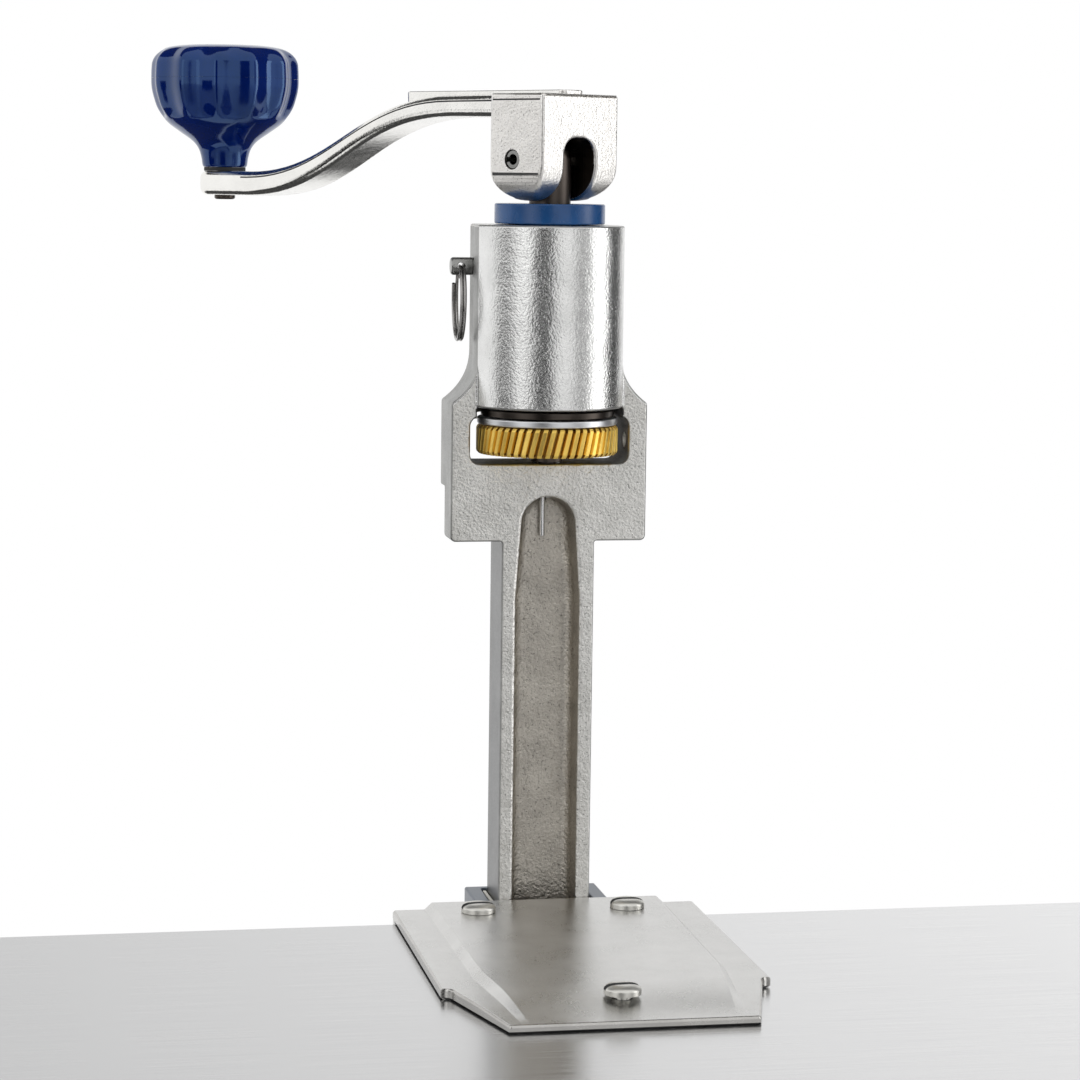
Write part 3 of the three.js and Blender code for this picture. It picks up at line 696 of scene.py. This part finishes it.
def casting():
    form = casting_blank()
    half, bottom, top = WINDOW.half, WINDOW.bottom, WINDOW.top
    outline = rounded(-half, half, bottom, top, (WINDOW.corner,) * 4)
    window = across(outline, BAR.front - 1, BAR.back + 1)
    radius, arch_top = HOUSING.radius, CHANNEL.arch_top
    under = lathe([(radius + 0.1, bottom + 2), (radius + 0.1, HOUSING.bottom)], 128)
    cut(form, window, under, channel_tool())
    soften(form, 0.7, 4)
    pin, stop, locating = Span("release_pin"), Span("bar_stop_pin"), Span("locating_rod")
    cut(
        form,
        rod(BORE.low, (0, 0, HOUSING.bottom - 1), (0, 0, BORE.step + 1), 64),
        rod(BORE.high, (0, 0, BORE.step), (0, 0, HOUSING.top + 1), 64),
        rod(3.8, (0, 0, 127.4), (0, 0, bottom + 1)),
        rod(2.4, (0, 0, arch_top - 4), (0, 0, 128)),
        rod(2.3, (half - 1, 1, 140.2), (HEAD.half + 1, 1, 140.2)),
        rod(2.6, (-HOUSING.half - 1, pin.y, pin.z), (10, pin.y, pin.z)),
        rod(2.7, (-16, stop.y, stop.z), (16, stop.y, stop.z)),
        rod(1.2, (locating.x, locating.y, arch_top - 5), (locating.x, locating.y, 127.9), 20),
        *pair_of_holes(2.1, HOLDER_BOLT, BAR.back - 8, BAR.back + 1, 24),
    )

    def on_housing(centre, normal):
        reach = math.hypot(centre.x, centre.y)
        in_front = centre.z > HOUSING.bottom - 0.2 and centre.y < BAR.front + 0.4
        return in_front and reach > radius - 1.5

    # The channel's faces, which get the painted shade and reflection.
    def in_channel_shade(centre, normal):
        inside = abs(centre.x) < CHANNEL.half + 0.1 and centre.z < arch_top
        return inside and BAR.front + 0.7 < centre.y < FLOOR_Y + 0.5

    # The bar's sides below the head, which get the painted shade.
    def on_shaded_side(centre, normal):
        return abs(normal.x) > 0.9 and abs(centre.x) > BAR.half - 1 and centre.z < HEAD.bottom

    # The head's side faces, which get the painted shade.
    def on_shaded_head_side(centre, normal):
        in_height = HEAD.bottom < centre.z < HOUSING.top - 1
        outside = abs(centre.x) > HOUSING.half - 1 and centre.y > BAR.front + 0.5
        return abs(normal.x) > 0.6 and in_height and outside

    # The window's inner walls, which get the painted shade.
    def in_window_shade(centre, normal):
        low, high = bottom - 0.05, HOUSING.bottom + 0.1
        inside = abs(centre.x) < half + 0.05 and low < centre.z < high
        return inside and BAR.front + 0.1 < centre.y < BAR.back - 0.1 and abs(normal.y) < 0.85

    def front_edge_dark_reflection(centre, normal):
        """The rounded edges of the head and bar, but not those of the channel; they get a painted
        dark reflection.
        """
        apart = abs(centre.x) > CHANNEL.half + 1.5 or centre.z > arch_top + 1.5
        in_front = centre.y < BAR.front + 0.75 and centre.z < HEAD.flare + 2
        return apart and in_front and 0.2 < -normal.y < 0.93

    # The housing's top and bottom rims, which get the same painted dark reflection.
    def housing_edge_dark_reflection(centre, normal):
        reach = math.hypot(centre.x, centre.y)
        low, high = HOUSING.bottom, HOUSING.top
        at_end = centre.z > high - 0.5 or low - 0.1 < centre.z < low + 0.6
        slanted = 0.25 < abs(normal.z) < 0.95
        return at_end and slanted and centre.y < BAR.front and reach > radius - 0.8

    patches = [
        (HEAD_SIDE_SHADE, on_shaded_head_side), (HOUSING_SKIN, on_housing), (CHANNEL_SHADE, in_channel_shade),
        (BAR_SIDE_SHADE, on_shaded_side), (EDGE_DARK_REFLECTION, front_edge_dark_reflection), (EDGE_DARK_REFLECTION, housing_edge_dark_reflection),
        (WINDOW_SHADE, in_window_shade),
    ]
    settle(form, "cast_bar", "bar", CAST, ["bar_casting"], patches=patches)


# ---- what sits in the casting ----


def collar():
    span = Span("thrust_collar")
    radius, bore, neck, shoulder = span.x1, 6.3, 10.7, 202.9
    form = lathe([
        (bore, span.z0), (neck, span.z0), (neck, shoulder), (radius, shoulder),
        (radius, span.z1), (bore, span.z1),
    ], 96, tube=True)
    settle(soften(form, 0.45), "blue_collar", "bar", COLLAR_BLUE, ["thrust_collar"])


def stop_pin():
    span = Span("bar_stop_pin")
    radius, length = (span.z1 - span.z0) / 2, span.x1 - span.x0
    form = lathe_along([(radius, 0), (radius, length)], (span.x0, span.y, span.z), (1, 0, 0))
    settle(soften(form, 0.6), "stop_pin", "bar", BRIGHT, ["bar_stop_pin"])


def arch_rod():
    span = Span("locating_rod")
    radius = (span.x1 - span.x0) / 2
    form = rod(radius, (span.x, span.y, span.z0), (span.x, span.y, span.z1), 24)
    settle(soften(form, 0.25), "arch_rod", "bar", BRIGHT, ["locating_rod"])


def slotted_head_screw(name, node, slot_turned):
    """A cheese-head screw whose axis runs along Y, with its head at the back."""
    span = Span(node)
    radius, length, shank, head = (span.x1 - span.x0) / 2, span.y1 - span.y0, 1.8, 2.6
    form = lathe_along([
        (shank, 0), (shank, length - head), (radius, length - head), (radius, length - 0.7),
        (radius - 0.5, length - 0.15), (radius - 1.2, length),
    ], (span.x, span.y0, span.z), (0, 1, 0))
    blade = box(-radius - 1, radius + 1, span.y1 - 1.1, span.y1 + 1, -0.5, 0.5)
    turn = Matrix.Rotation(math.radians(slot_turned), 4, "Y")
    blade.data.transform(Matrix.Translation((span.x, 0, span.z)) @ turn)
    settle(soften(cut(form, blade), 0.15, 2), name, "bar", BLACK_OXIDE, [node])


def knife_and_holder():
    holder = Span("knife_holder")
    outline = rounded(holder.x0, holder.x1, holder.z0, holder.z1, (2, 2, 6, 6))
    plate = soften(across(outline, holder.y0, holder.y1), 0.9, 4)
    holes = pair_of_holes(2.5, HOLDER_BOLT, holder.y0 - 1, holder.y1 + 1)
    seats = pair_of_holes(2.1, BLADE_BOLT, holder.y1 - 5, holder.y1 + 1)
    cut(plate, *holes, *seats)
    settle(plate, "blade_holder", "bar", CRANK_SKIN, ["knife_holder"])

    blade = Span("knife")
    half, tip = blade.x1, blade.z0
    start, lowest = (-half, tip + 7), (half * 0.3, tip)
    edge = bezier(start, (-half * 0.6, tip + 2), (-half * 0.2, tip), lowest, 12)
    edge += bezier(lowest, (half * 0.75, tip + 0.4), (half, tip + 3), (half, tip + 9), 12)
    form = across([start, *edge, (half, blade.z1), (-half, blade.z1)], blade.y0, blade.y1)
    slant = [(blade.y0 - 1, tip - 1), (blade.y0 - 1, tip + 6.5), (blade.y1 - 0.3, tip - 1)]
    slope = along(slant, -half - 1, half + 1)
    cut(form, slope, *pair_of_holes(2.4, BLADE_BOLT, blade.y0 - 1, blade.y1 + 1))
    settle(soften(form, 0.15, 2, 25), "blade", "bar", GROUND, ["knife"])

    for side, turned in (("left", 20), ("right", 65)):
        slotted_head_screw(f"holder_bolt_{side}", f"holder_screw_{side}", turned)
        slotted_head_screw(f"blade_bolt_{side}", f"knife_screw_{side}", turned + 50)


# ---- arbor, spacer, disc and gear ----


HUB_BORE = 5.1


def arbor_pieces():
    radius, journal, seat, land, z0 = 6.0, 2.4, 4.8, 9.6, Span("arbor").z0
    form = lathe([
        (journal - 0.5, z0), (journal, z0 + 0.5), (journal, 134.1), (seat, 134.1), (seat, 149.7),
        (radius, 149.7), (radius, 181), (land, 181), (land, 186.9), (radius, 186.9),
        (radius, 193.9), (land, 193.9), (land, 197.2), (radius, 197.2),
        *arc(0, PIVOT_Z, radius, 0, 81, 9), (0.6, PIVOT_Z + radius),
    ], 64)
    soften(form, 0.2, 2)
    turn = Matrix.Rotation(CRANK_ANGLE, 4, "Z")
    form.data.transform(turn)
    side, lift = turn @ Vector((0, 8, 0)), Vector((0, 0, PIVOT_Z))
    cut(form, rod(PIN_HOLE, lift - side, lift + side))
    settle(form, "turned_arbor", "arbor", DARK_TURNED_AND_SHADE, ["arbor"])

    spacer = Span("thrust_spacer")
    form = ring(HUB_BORE, spacer.x1, spacer.z0, spacer.z1, 96)
    settle(soften(form, 0.3), "spacer_ring", "arbor", DARK_TURNED_AND_SHADE, ["thrust_spacer"])

    disc = Span("gear_disc")
    form = ring(HUB_BORE, disc.x1, disc.z0, disc.z1, 128)
    settle(soften(form, 0.45), "bright_disc", "arbor", DISC_SKIN, ["gear_disc"])


GEAR = Sizes(teeth=54, root=19.5, twist=math.radians(5.6))
# One tooth, as shares of the pitch and of the tooth's height.
TOOTH = [
    (-0.46, 0), (-0.42, 0.2), (-0.31, 0.9), (-0.24, 1),
    (0.2, 1), (0.27, 0.9), (0.38, 0.2), (0.42, 0),
]
# Rows up the gear, as shares of its height, with how far the chamfer draws each one in.
GEAR_ROWS = [(0, 0.75), (0.06, 0.2), (0.12, 0), (0.5, 0), (0.88, 0), (0.94, 0.2), (1, 0.75)]
# The shallow recess in both faces: radii, with depths as shares of the gear's height.
GEAR_FACE = [(16.5, 0), (16.1, 0.05), (10.4, 0.05), (10, 0), (HUB_BORE, 0)]


def feed_gear():
    span, root, pitch = Span("feed_gear"), GEAR.root, 2 * math.pi / GEAR.teeth

    def gear_loop(share, low, tooth_height):
        turn = CRANK_ANGLE + GEAR.twist * share
        z = span.z0 + (span.z1 - span.z0) * share
        loop = []
        for tooth in range(GEAR.teeth):
            for offset, rise in TOOTH:
                angle, reach = (tooth + offset) * pitch + turn, low + tooth_height * rise
                loop.append((reach * math.cos(angle), reach * math.sin(angle), z))
        return loop

    loops = [
        gear_loop(share, root - drawn_in * 0.6, span.x1 - root - drawn_in * 0.3)
        for share, drawn_in in GEAR_ROWS
    ]
    loops += [gear_loop(1 - depth, radius, 0) for radius, depth in GEAR_FACE]
    loops += [gear_loop(depth, radius, 0) for radius, depth in reversed(GEAR_FACE)]
    form = loft(loops, wrapped=True)

    # The roots between the teeth, which get the painted shade.
    def in_gap_shade(centre, normal):
        reach = math.hypot(centre.x, centre.y)
        return root - 0.3 < reach < root + 0.62

    patches = [(BRASS_GAP_SHADE, in_gap_shade)]
    settle(form, "helical_gear", "arbor", BRASS, ["feed_gear"], patches=patches)


# ---- the crank ----

BLOCK = Sizes(end=-11.8, arm_side=9, half=16.2, bottom=209.5, top=240)
ARM_HALF = 7.8
BOSS = Sizes(radius=7.8, bottom=209.4, top=216.9)
ARM_TOP = [(34, 239.9), (74, 239.9), (84, 217.2), (122, 216.9)]
ARM_UNDER = [(122, 209.4), (84, 210.2), (76, 233.6), (34, 233.6)]


# The upper and lower edge of the fine line on the crank's sides, below its top.
LINE_TOP, LINE_BOTTOM = 1.6, 2.05
# The slot for the arbor's end: half its width, and its reach from the pin.
SLOT_HALF, SLOT_REACH = 6.6, 6.3
PAD = Sizes(start=-9, stop=55, half=4.6, corner=2, sunk=3, height=1.2)


def arm_outline():
    """The arm's side view, as its top and its underside."""
    over = [(5, BLOCK.top), ARM_TOP[0], *bezier(*ARM_TOP), (THROW, BOSS.top)]
    under = [(THROW, BOSS.bottom), ARM_UNDER[0], *bezier(*ARM_UNDER), (5, 233.4)]
    return over, under


def rim_groove(side):
    """A fine line along the arm's side, just below its top edge."""
    over, _ = arm_outline()
    over = [(BLOCK.arm_side + 0.6, over[0][1]), *over[1:]]
    over[-1] = (THROW - 16, over[-1][1])
    band = [(x, z - LINE_TOP) for x, z in over] + [(x, z - LINE_BOTTOM) for x, z in reversed(over)]
    near, far = sorted((side * (ARM_HALF - 0.5), side * (ARM_HALF + 1)))
    return across(band, near, far)


def block_groove(side):
    """The same line on the block's side."""
    near, far = sorted((side * (BLOCK.half - 0.4), side * (BLOCK.half + 1)))
    low, high = BLOCK.top - LINE_BOTTOM, BLOCK.top - LINE_TOP
    return box(BLOCK.end + 1.2, BLOCK.arm_side - 1.2, near, far, low, high)


def crank():
    end, arm_side, half = BLOCK.end, BLOCK.arm_side, BLOCK.half
    bottom, top = BLOCK.bottom, BLOCK.top
    side_view = rounded(end, arm_side, bottom, top, (10.6, 8.8, 0, 0.6), 14)
    end_view = rounded(-half, half, bottom, top, (8, 8, 0.8, 0.8), 14)
    block = common(across(side_view, -half, half), along(end_view, end, arm_side))
    over, under = arm_outline()
    arm = across(over + under, -ARM_HALF, ARM_HALF)
    boss = lathe([(BOSS.radius, BOSS.bottom), (BOSS.radius, BOSS.top)], 64)
    boss.data.transform(Matrix.Translation((THROW, 0, 0)))
    roof = PIVOT_Z + SLOT_REACH
    cavity = (
        [(end - 2, bottom - 2), (SLOT_REACH, bottom - 2)]
        + arc(0, PIVOT_Z, SLOT_REACH, 0, 90, 16)
        + [(end - 2, roof)]
    )
    slot_end = rounded(-SLOT_HALF, SLOT_HALF, bottom - 2, roof, (0, 0, 5, 5), 10)
    slot = common(across(cavity, -7, 7), along(slot_end, end - 3, SLOT_REACH + 1))
    form = soften(cut(block, slot), 1.15, 5)
    join(form, soften(join(arm, boss), 2.2, 6))
    pad_plan = rounded(PAD.start, PAD.stop, -PAD.half, PAD.half, (PAD.corner,) * 4)
    join(form, soften(raised(pad_plan, top - PAD.sunk, top + PAD.height), 0.35))
    cut(
        form,
        rod(PIN_HOLE, (0, -18, PIVOT_Z), (0, 18, PIVOT_Z), 48),
        rod(2.5, (THROW, 0, BOSS.bottom - 1), (THROW, 0, BOSS.top + 1), 32),
        *[groove(side) for groove in (rim_groove, block_groove) for side in (-1, 1)],
    )

    # The faces of the fine side lines, which get painted shade.
    def groove_shade(centre, normal):
        side = ARM_HALF if centre.x > arm_side else half
        square = abs(normal.y) < 0.05 or abs(normal.y) > 0.995
        return square and 0.02 < side - abs(centre.y) < 0.55

    # The walls of the crank's slot, painted with the dark steel as painted shade.
    def cavity_shade(centre, normal):
        inside = abs(centre.y) < SLOT_HALF + 0.05 and end + 1 < centre.x < SLOT_REACH + 0.05
        return inside and centre.z < roof + 0.05

    def on_arm(centre, normal):
        return centre.x > arm_side + 0.5

    patches = [(ARM_SKIN, on_arm), (DARK_TURNED_AND_SHADE, cavity_shade), (CREVICE_SHADE, groove_shade)]
    node = ["crank_handle"]
    settle(form, "cast_crank", "crank", CRANK_SKIN, node, AT_CRANK, patches)


def roll_pin():
    """A rolled spring pin, with its slit along one side."""
    outer, inner, half = 2.6, 1.5, 15.8
    outline = arc(0, PIVOT_Z, outer, 18, 342, 40) + arc(0, PIVOT_Z, inner, 338, 22, 40)
    form = soften(across(outline, -half, half), 0.18, 2, 50)
    settle(form, "roll_pin", "crank", GROUND, ["crank_pin"], AT_CRANK)


def stud_and_washer():
    stud, gap = Span("knob_stud"), 0.03
    under, step = BOSS.bottom - gap, Span("knob_washer").z1 + 0.3
    rivet, shank, axle, head = 3.3, 2.2, 3.2, 6.4
    form = soften(lathe([
        (rivet - 0.5, stud.z0), (rivet, stud.z0 + 0.4), (rivet, under), (shank, under),
        (shank, step), (axle, step), (axle, stud.z1 - 3), (head, stud.z1 - 3), (head, stud.z1),
    ], 48), 0.2, 2)
    settle(form, "riveted_stud", "crank", DARK_TURNED_AND_SHADE, ["knob_stud"], AT_KNOB)
    form = soften(ring(2.5, 6.6, BOSS.top + gap, Span("knob_body").z0 - gap), 0.15, 2)
    settle(form, "rubber_washer", "crank", RUBBER, ["knob_washer"], AT_KNOB)


# ---- the knob ----

KNOB_SIDE = [
    (6.7, 218.2), (7.1, 218.9), (7.5, 221.4), (8.4, 224.1), (10.4, 226.5), (14.5, 229.4),
    (18.2, 232.2), (21.3, 236.3), (22.8, 240.5), (23.4, 243.5), (23.5, 246),
]
KNOB_CROWN = [
    (23.5, 246.04), (23.4, 249), (23.1, 251.3), (22, 253.2), (20.2, 254.7), (17.8, 255.7),
    (15, 256.2),
]
KNOB_BORE = [(7, 246), (7, 238), (3.5, 238), (3.5, 218.2)]
CROWN_SPIGOT, CROWN_TOP = [(6.7, 243), (6.7, 246.2)], [(13, 256.38), (10, 256.4), (0.5, 256.4)]
KNOB_SIDES = 240
FLUTES = Sizes(count=12, depth=1.45, start=233.6, stop=255.2, turn=math.radians(12))


def smooth_profile(points, steps=5):
    """A Catmull-Rom curve through the points."""
    ends = [points[0], *points, points[-1]]
    curve = []
    for a, b, c, d in zip(ends, ends[1:], ends[2:], ends[3:]):
        for i in range(steps):
            t = i / steps
            curve.append(tuple(
                0.5 * (
                    2 * b[k] + (c[k] - a[k]) * t + (2 * a[k] - 5 * b[k] + 4 * c[k] - d[k]) * t * t
                    + (3 * b[k] - a[k] - 3 * c[k] + d[k]) * t**3
                )
                for k in (0, 1)
            ))
    return [*curve, points[-1]]


def fluted(profile):
    """The loops of a turned profile whose grip has shallow finger flutes."""
    loops = []
    for radius, z in profile:
        depth = FLUTES.depth
        for share in ((z - FLUTES.start) / 3.2, (FLUTES.stop - z) / 2.6):
            fade = min(1, max(0, share))
            depth *= math.sqrt(fade * (2 - fade))
        loop = []
        for i in range(KNOB_SIDES):
            angle = 2 * math.pi * i / KNOB_SIDES
            valley = abs(math.sin(FLUTES.count * (angle - FLUTES.turn) / 2)) ** 1.35
            reach = radius - depth * valley
            loop.append((reach * math.cos(angle), reach * math.sin(angle), z))
        loops.append(loop)
    return loops


def knob():
    def plain(profile):
        return [round_loop(radius, z, KNOB_SIDES) for radius, z in profile]

    form = loft(fluted(smooth_profile(KNOB_SIDE)) + plain(KNOB_BORE), wrapped=True)
    settle(form, "knob_grip", "knob", NAVY, ["knob_body"], AT_KNOB)
    crown = fluted(smooth_profile(KNOB_CROWN))
    form = loft(plain(CROWN_SPIGOT) + crown + plain(CROWN_TOP))
    settle(form, "knob_crown", "knob", NAVY, ["knob_cap"], AT_KNOB)


# ---- release pin and ring ----


def release_pin():
    span = Span("release_pin")
    head, shank, head_end, length = 2.6, 2.3, 6.2, span.x1 - span.x0
    form = lathe_along([
        (head - 0.5, 0), (head, 0.5), (head, head_end), (shank, head_end),
        (shank, length - 1), (shank - 0.8, length),
    ], (span.x0, span.y, span.z), (1, 0, 0))
    ring_x = joint_place("ring_swing").x
    cut(form, rod(1.1, (ring_x, span.y - 4, span.z), (ring_x, span.y + 4, span.z), 24))
    settle(soften(form, 0.2, 2), "pull_pin", "release_pin", GROUND, ["release_pin"])


def split_ring():
    """Two turns of spring wire, side by side, as on a key ring."""
    place = joint_place("ring_swing") - AXIS
    radius, wire, pitch, turns, steps = 10.7, 0.5, 1.02, 1.97, 150
    path = []
    for i in range(steps + 1):
        angle = 2 * math.pi * turns * i / steps + math.radians(60)
        drift = (i / steps - 0.5) * pitch * turns * 0.97
        swing = radius + 0.05 * math.sin(3 * angle)
        y, z = swing * math.sin(angle), place.z - radius + swing * math.cos(angle)
        path.append((place.x + drift, place.y + y, z))
    centre, turn = Matrix.Translation(place), Matrix.Rotation(math.radians(-4), 4, "Z")
    form = sweep(path, wire)
    form.data.transform(centre @ turn @ centre.inverted())
    settle(form, "split_ring", "pull_ring", SPRING, ["pull_ring"])


# ---- the base ----

PLATE = Sizes(
    half=45, front=-131, rear=-5, front_half=33, notch_y=-95, notch=3,
    flange=3, top=5, front_level=2.3, edge=0.8, under=0.8, under_rise=0.6,
    slope=2.6, flange_run=22, top_run=30,
)
CREASE = Sizes(front_half=29.5, bend_half=35, rear_half=36, bend_y=-86)
LIP = Sizes(front=-8.8, bottom=-60, low_half=36)
TABLE_SCREWS = [
    ("truss_screw_left", "base_screw_rear_left", 3),
    ("truss_screw_right", "base_screw_rear_right", -2),
    ("truss_screw_front", "base_screw_front", 2),
]
GUIDE_SCREWS = [
    f"guide_screw_{row}_{side}" for row in ("upper", "lower") for side in ("left", "right")
]


def smooth(value):
    value = min(1, max(0, value))
    return value * value * (3 - 2 * value)


def plate_half(y):
    """The plate's half width: a slanting front, a small round notch, then straight sides."""
    half, notch, notch_y = PLATE.half, PLATE.notch, PLATE.notch_y
    if y >= notch_y:
        return half
    if y > notch_y - notch:
        return half - math.sqrt(notch**2 - (y - notch_y + notch) ** 2)
    share = (y - PLATE.front) / (notch_y - notch - PLATE.front)
    return PLATE.front_half + (half - notch - PLATE.front_half) * share


def crease_half(y):
    """Half the distance between the creases, which splay out to a bend and then hardly at all."""
    front, rear, bend_y, half = PLATE.front, PLATE.rear, CREASE.bend_y, CREASE.bend_half
    if y < bend_y:
        return CREASE.front_half + (half - CREASE.front_half) * (y - front) / (bend_y - front)
    return half + (CREASE.rear_half - half) * (y - bend_y) / (rear - bend_y)


def plate_row(y):
    """One row of the plate's top: a flat rim, a creased slope and a raised middle."""
    half, crease, edge, slope = plate_half(y), crease_half(y), PLATE.edge, PLATE.slope
    flange, front_level, foot = PLATE.flange, PLATE.front_level, crease - slope
    rim = [half - edge * (1 - math.cos(math.radians(a))) for a in range(0, 91, 15)]
    inner = [crease + 0.5, crease, crease - 0.3, crease - slope / 2, foot + 0.3, foot]
    columns = [*rim, (rim[-1] + crease) / 2, *inner, *[foot * k / 8 for k in range(7, 0, -1)]]
    from_front = y - PLATE.front
    low = front_level + (flange - front_level) * smooth(from_front / PLATE.flange_run)
    rise = (PLATE.top - flange) * smooth(from_front / PLATE.top_run)
    ends = min(from_front, PLATE.rear - y)
    row = []
    for x in [*columns, 0, *[-x for x in reversed(columns)]]:
        z = low + rise * smooth((crease - abs(x)) / slope)
        over_side = max(0, 1 - (half - abs(x)) / edge)
        over_end = max(0, 1 - ends / edge)
        away = min(1, over_side**2 + over_end**2)
        row.append((x, y, z - edge * (1 - math.sqrt(1 - away))))
    under, rise = PLATE.under, PLATE.under_rise
    toe, inset = rise * max(0, 1 - ends / under), half - under
    return [*row, (-half, y, rise), (-inset, y, toe), (inset, y, toe), (half, y, rise)]


def plate_top():
    front, rear, under, notch = PLATE.front, PLATE.rear, PLATE.under, PLATE.notch
    notch_front = PLATE.notch_y - notch
    rounding = [PLATE.edge * (1 - math.cos(math.radians(a))) for a in range(0, 91, 15)]
    rows = [front + r for r in rounding] + [front + under, *range(front + 3, notch_front, 3)]
    rows += [notch_front + notch * math.sin(math.radians(a)) for a in range(0, 91, 10)]
    rows += [*range(PLATE.notch_y + 4, rear - 1, 5), rear - under]
    return loft([plate_row(y) for y in rows + [rear - r for r in reversed(rounding)]])


def base_plate():
    half, low, lip_low = PLATE.half, LIP.low_half, LIP.bottom
    outline = [(-half, 1), (-half, -8), (-low, lip_low), (low, lip_low), (half, -8), (half, 1)]
    form = join(plate_top(), soften(across(outline, LIP.front, PLATE.rear), 0.5))
    tools = []
    for _, node, _ in TABLE_SCREWS:
        screw = Span(node)
        tools.append(rod(2.8, (screw.x, screw.y, -1), (screw.x, screw.y, 6)))
    for node in GUIDE_SCREWS:
        x, z = Span(node).x, Span(node).z
        tools.append(rod(2.5, (x, LIP.front - 1, z), (x, PLATE.rear + 1, z)))
    cut(form, *tools)

    # The plate's side walls and front edge, which get the painted shade.
    def on_edge_shade(centre, normal):
        at_side = 0 < centre.z < PLATE.flange and abs(centre.x) > PLATE.front_half - 1
        return abs(normal.z) < 0.93 and at_side or centre.y < PLATE.front + 1

    # The undercut along the plate's lower edge, which gets painted shade.
    def under_edge_shade(centre, normal):
        return normal.z < -0.2 and 0.02 < centre.z < PLATE.under_rise

    patches, node = [(PLATE_EDGE_SHADE, on_edge_shade), (CREVICE_SHADE, under_edge_shade)], ["base_plate"]
    settle(form, "plate_with_lip", "base", PLATE_SKIN, node, patches=patches)


def truss_screw(name, node, turned):
    """A slotted screw through the plate, with a flat dome on a short brim for its head."""
    span = Span(node)
    head, under, top, brim, shank = span.x1 - span.x, PLATE.top + 0.05, span.z1, 1.1, 2.3
    slot_half, slot_depth = 1, 1.5
    rise = top - under - brim
    turns = [math.radians(d) for d in (0, 14, 28, 42, 56, 68, 78, 84, 88)]
    dome = [(head * math.cos(a) ** 0.5, under + brim + rise * math.sin(a)) for a in turns]
    foot = [(0.6, span.z0), (shank, span.z0 + 2.3), (shank, under), (head, under)]
    form = lathe(foot + dome, 64)
    blade = box(-head - 1, head + 1, -slot_half, slot_half, top - slot_depth, top + 1)
    turn = math.radians(turned)
    blade.data.transform(Matrix.Rotation(turn, 4, "Z"))
    cut(form, blade)
    soften(form, 0.16, 2, 30)
    form.data.transform(Matrix.Translation((span.x, span.y, 0)))

    # The slot's faces, which get painted shade.
    def slot_shade(centre, normal):
        aside = (centre.y - span.y) * math.cos(turn) - (centre.x - span.x) * math.sin(turn)
        return abs(aside) < slot_half + 0.05 and centre.z > top - slot_depth - 0.05

    settle(form, name, "base", SCREW_SKIN, [node], patches=[(CREVICE_SHADE, slot_shade)])


def guide():
    """The guide behind the lip: a channel for the bar, with an ear on each side."""
    span = Span("bar_guide")
    half, ear, ear_back, slot_half, slot_back = 20, span.x1, -0.6, 15.4, 15.3
    body = box(-half, half, span.y0, span.y1, span.z0, span.z1)
    ears = across(rounded(-ear, ear, -56, -6, (4, 4, 4, 4)), span.y0, ear_back)
    slot = box(-slot_half, slot_half, span.y0 - 1, slot_back, span.z0 - 1, span.z1 + 1)
    form = soften(cut(join(body, ears), slot), 0.6)
    places = [Span(node) for node in GUIDE_SCREWS]
    cut(form, *[rod(2.5, (p.x, span.y0 - 1, p.z), (p.x, 0, p.z)) for p in places])
    settle(form, "guide_channel", "base", GUIDE_SKIN, ["bar_guide"])
    for side in ("left", "right"):
        node, name = f"guide_liner_{side}", f"nylon_strip_{side}"
        liner = Span(node)
        form = box(liner.x0, liner.x1, liner.y0, liner.y1, liner.z0, liner.z1)
        settle(soften(form, 0.3, 2), name, "base", NYLON, [node])


def cap_screw(node):
    """A socket cap screw whose axis runs along Y, with its head at the back."""
    span = Span(node)
    radius, length, shank, head = (span.x1 - span.x0) / 2, span.y1 - span.y0, 2.2, 3
    form = lathe_along([
        (1.6, 0), (shank, 0.8), (shank, length - head), (radius, length - head),
        (radius, length - 0.4), (radius - 0.4, length),
    ], (span.x, span.y0, span.z), (0, 1, 0))
    socket = rod(2, (span.x, span.y1 - 1.8, span.z), (span.x, span.y1 + 1, span.z), 6)
    name = node.replace("guide", "cap")
    settle(soften(cut(form, socket), 0.15, 2), name, "base", BLACK_OXIDE, [node])


# ---- the whole ----

add_camera()
add_studio()
casting()
collar()
stop_pin()
arch_rod()
knife_and_holder()
arbor_pieces()
feed_gear()
crank()
roll_pin()
stud_and_washer()
knob()
release_pin()
split_ring()
base_plate()
for screw_name, screw_node, screw_turn in TABLE_SCREWS:
    truss_screw(screw_name, screw_node, screw_turn)
guide()
for screw_node in GUIDE_SCREWS:
    cap_screw(screw_node)

for bush in ("housing_bushing", "journal_bushing"):
    bush_mesh = frame["nodes"][bush].data
    bush_mesh.materials.clear()
    bush_mesh.materials.append(BRONZE)
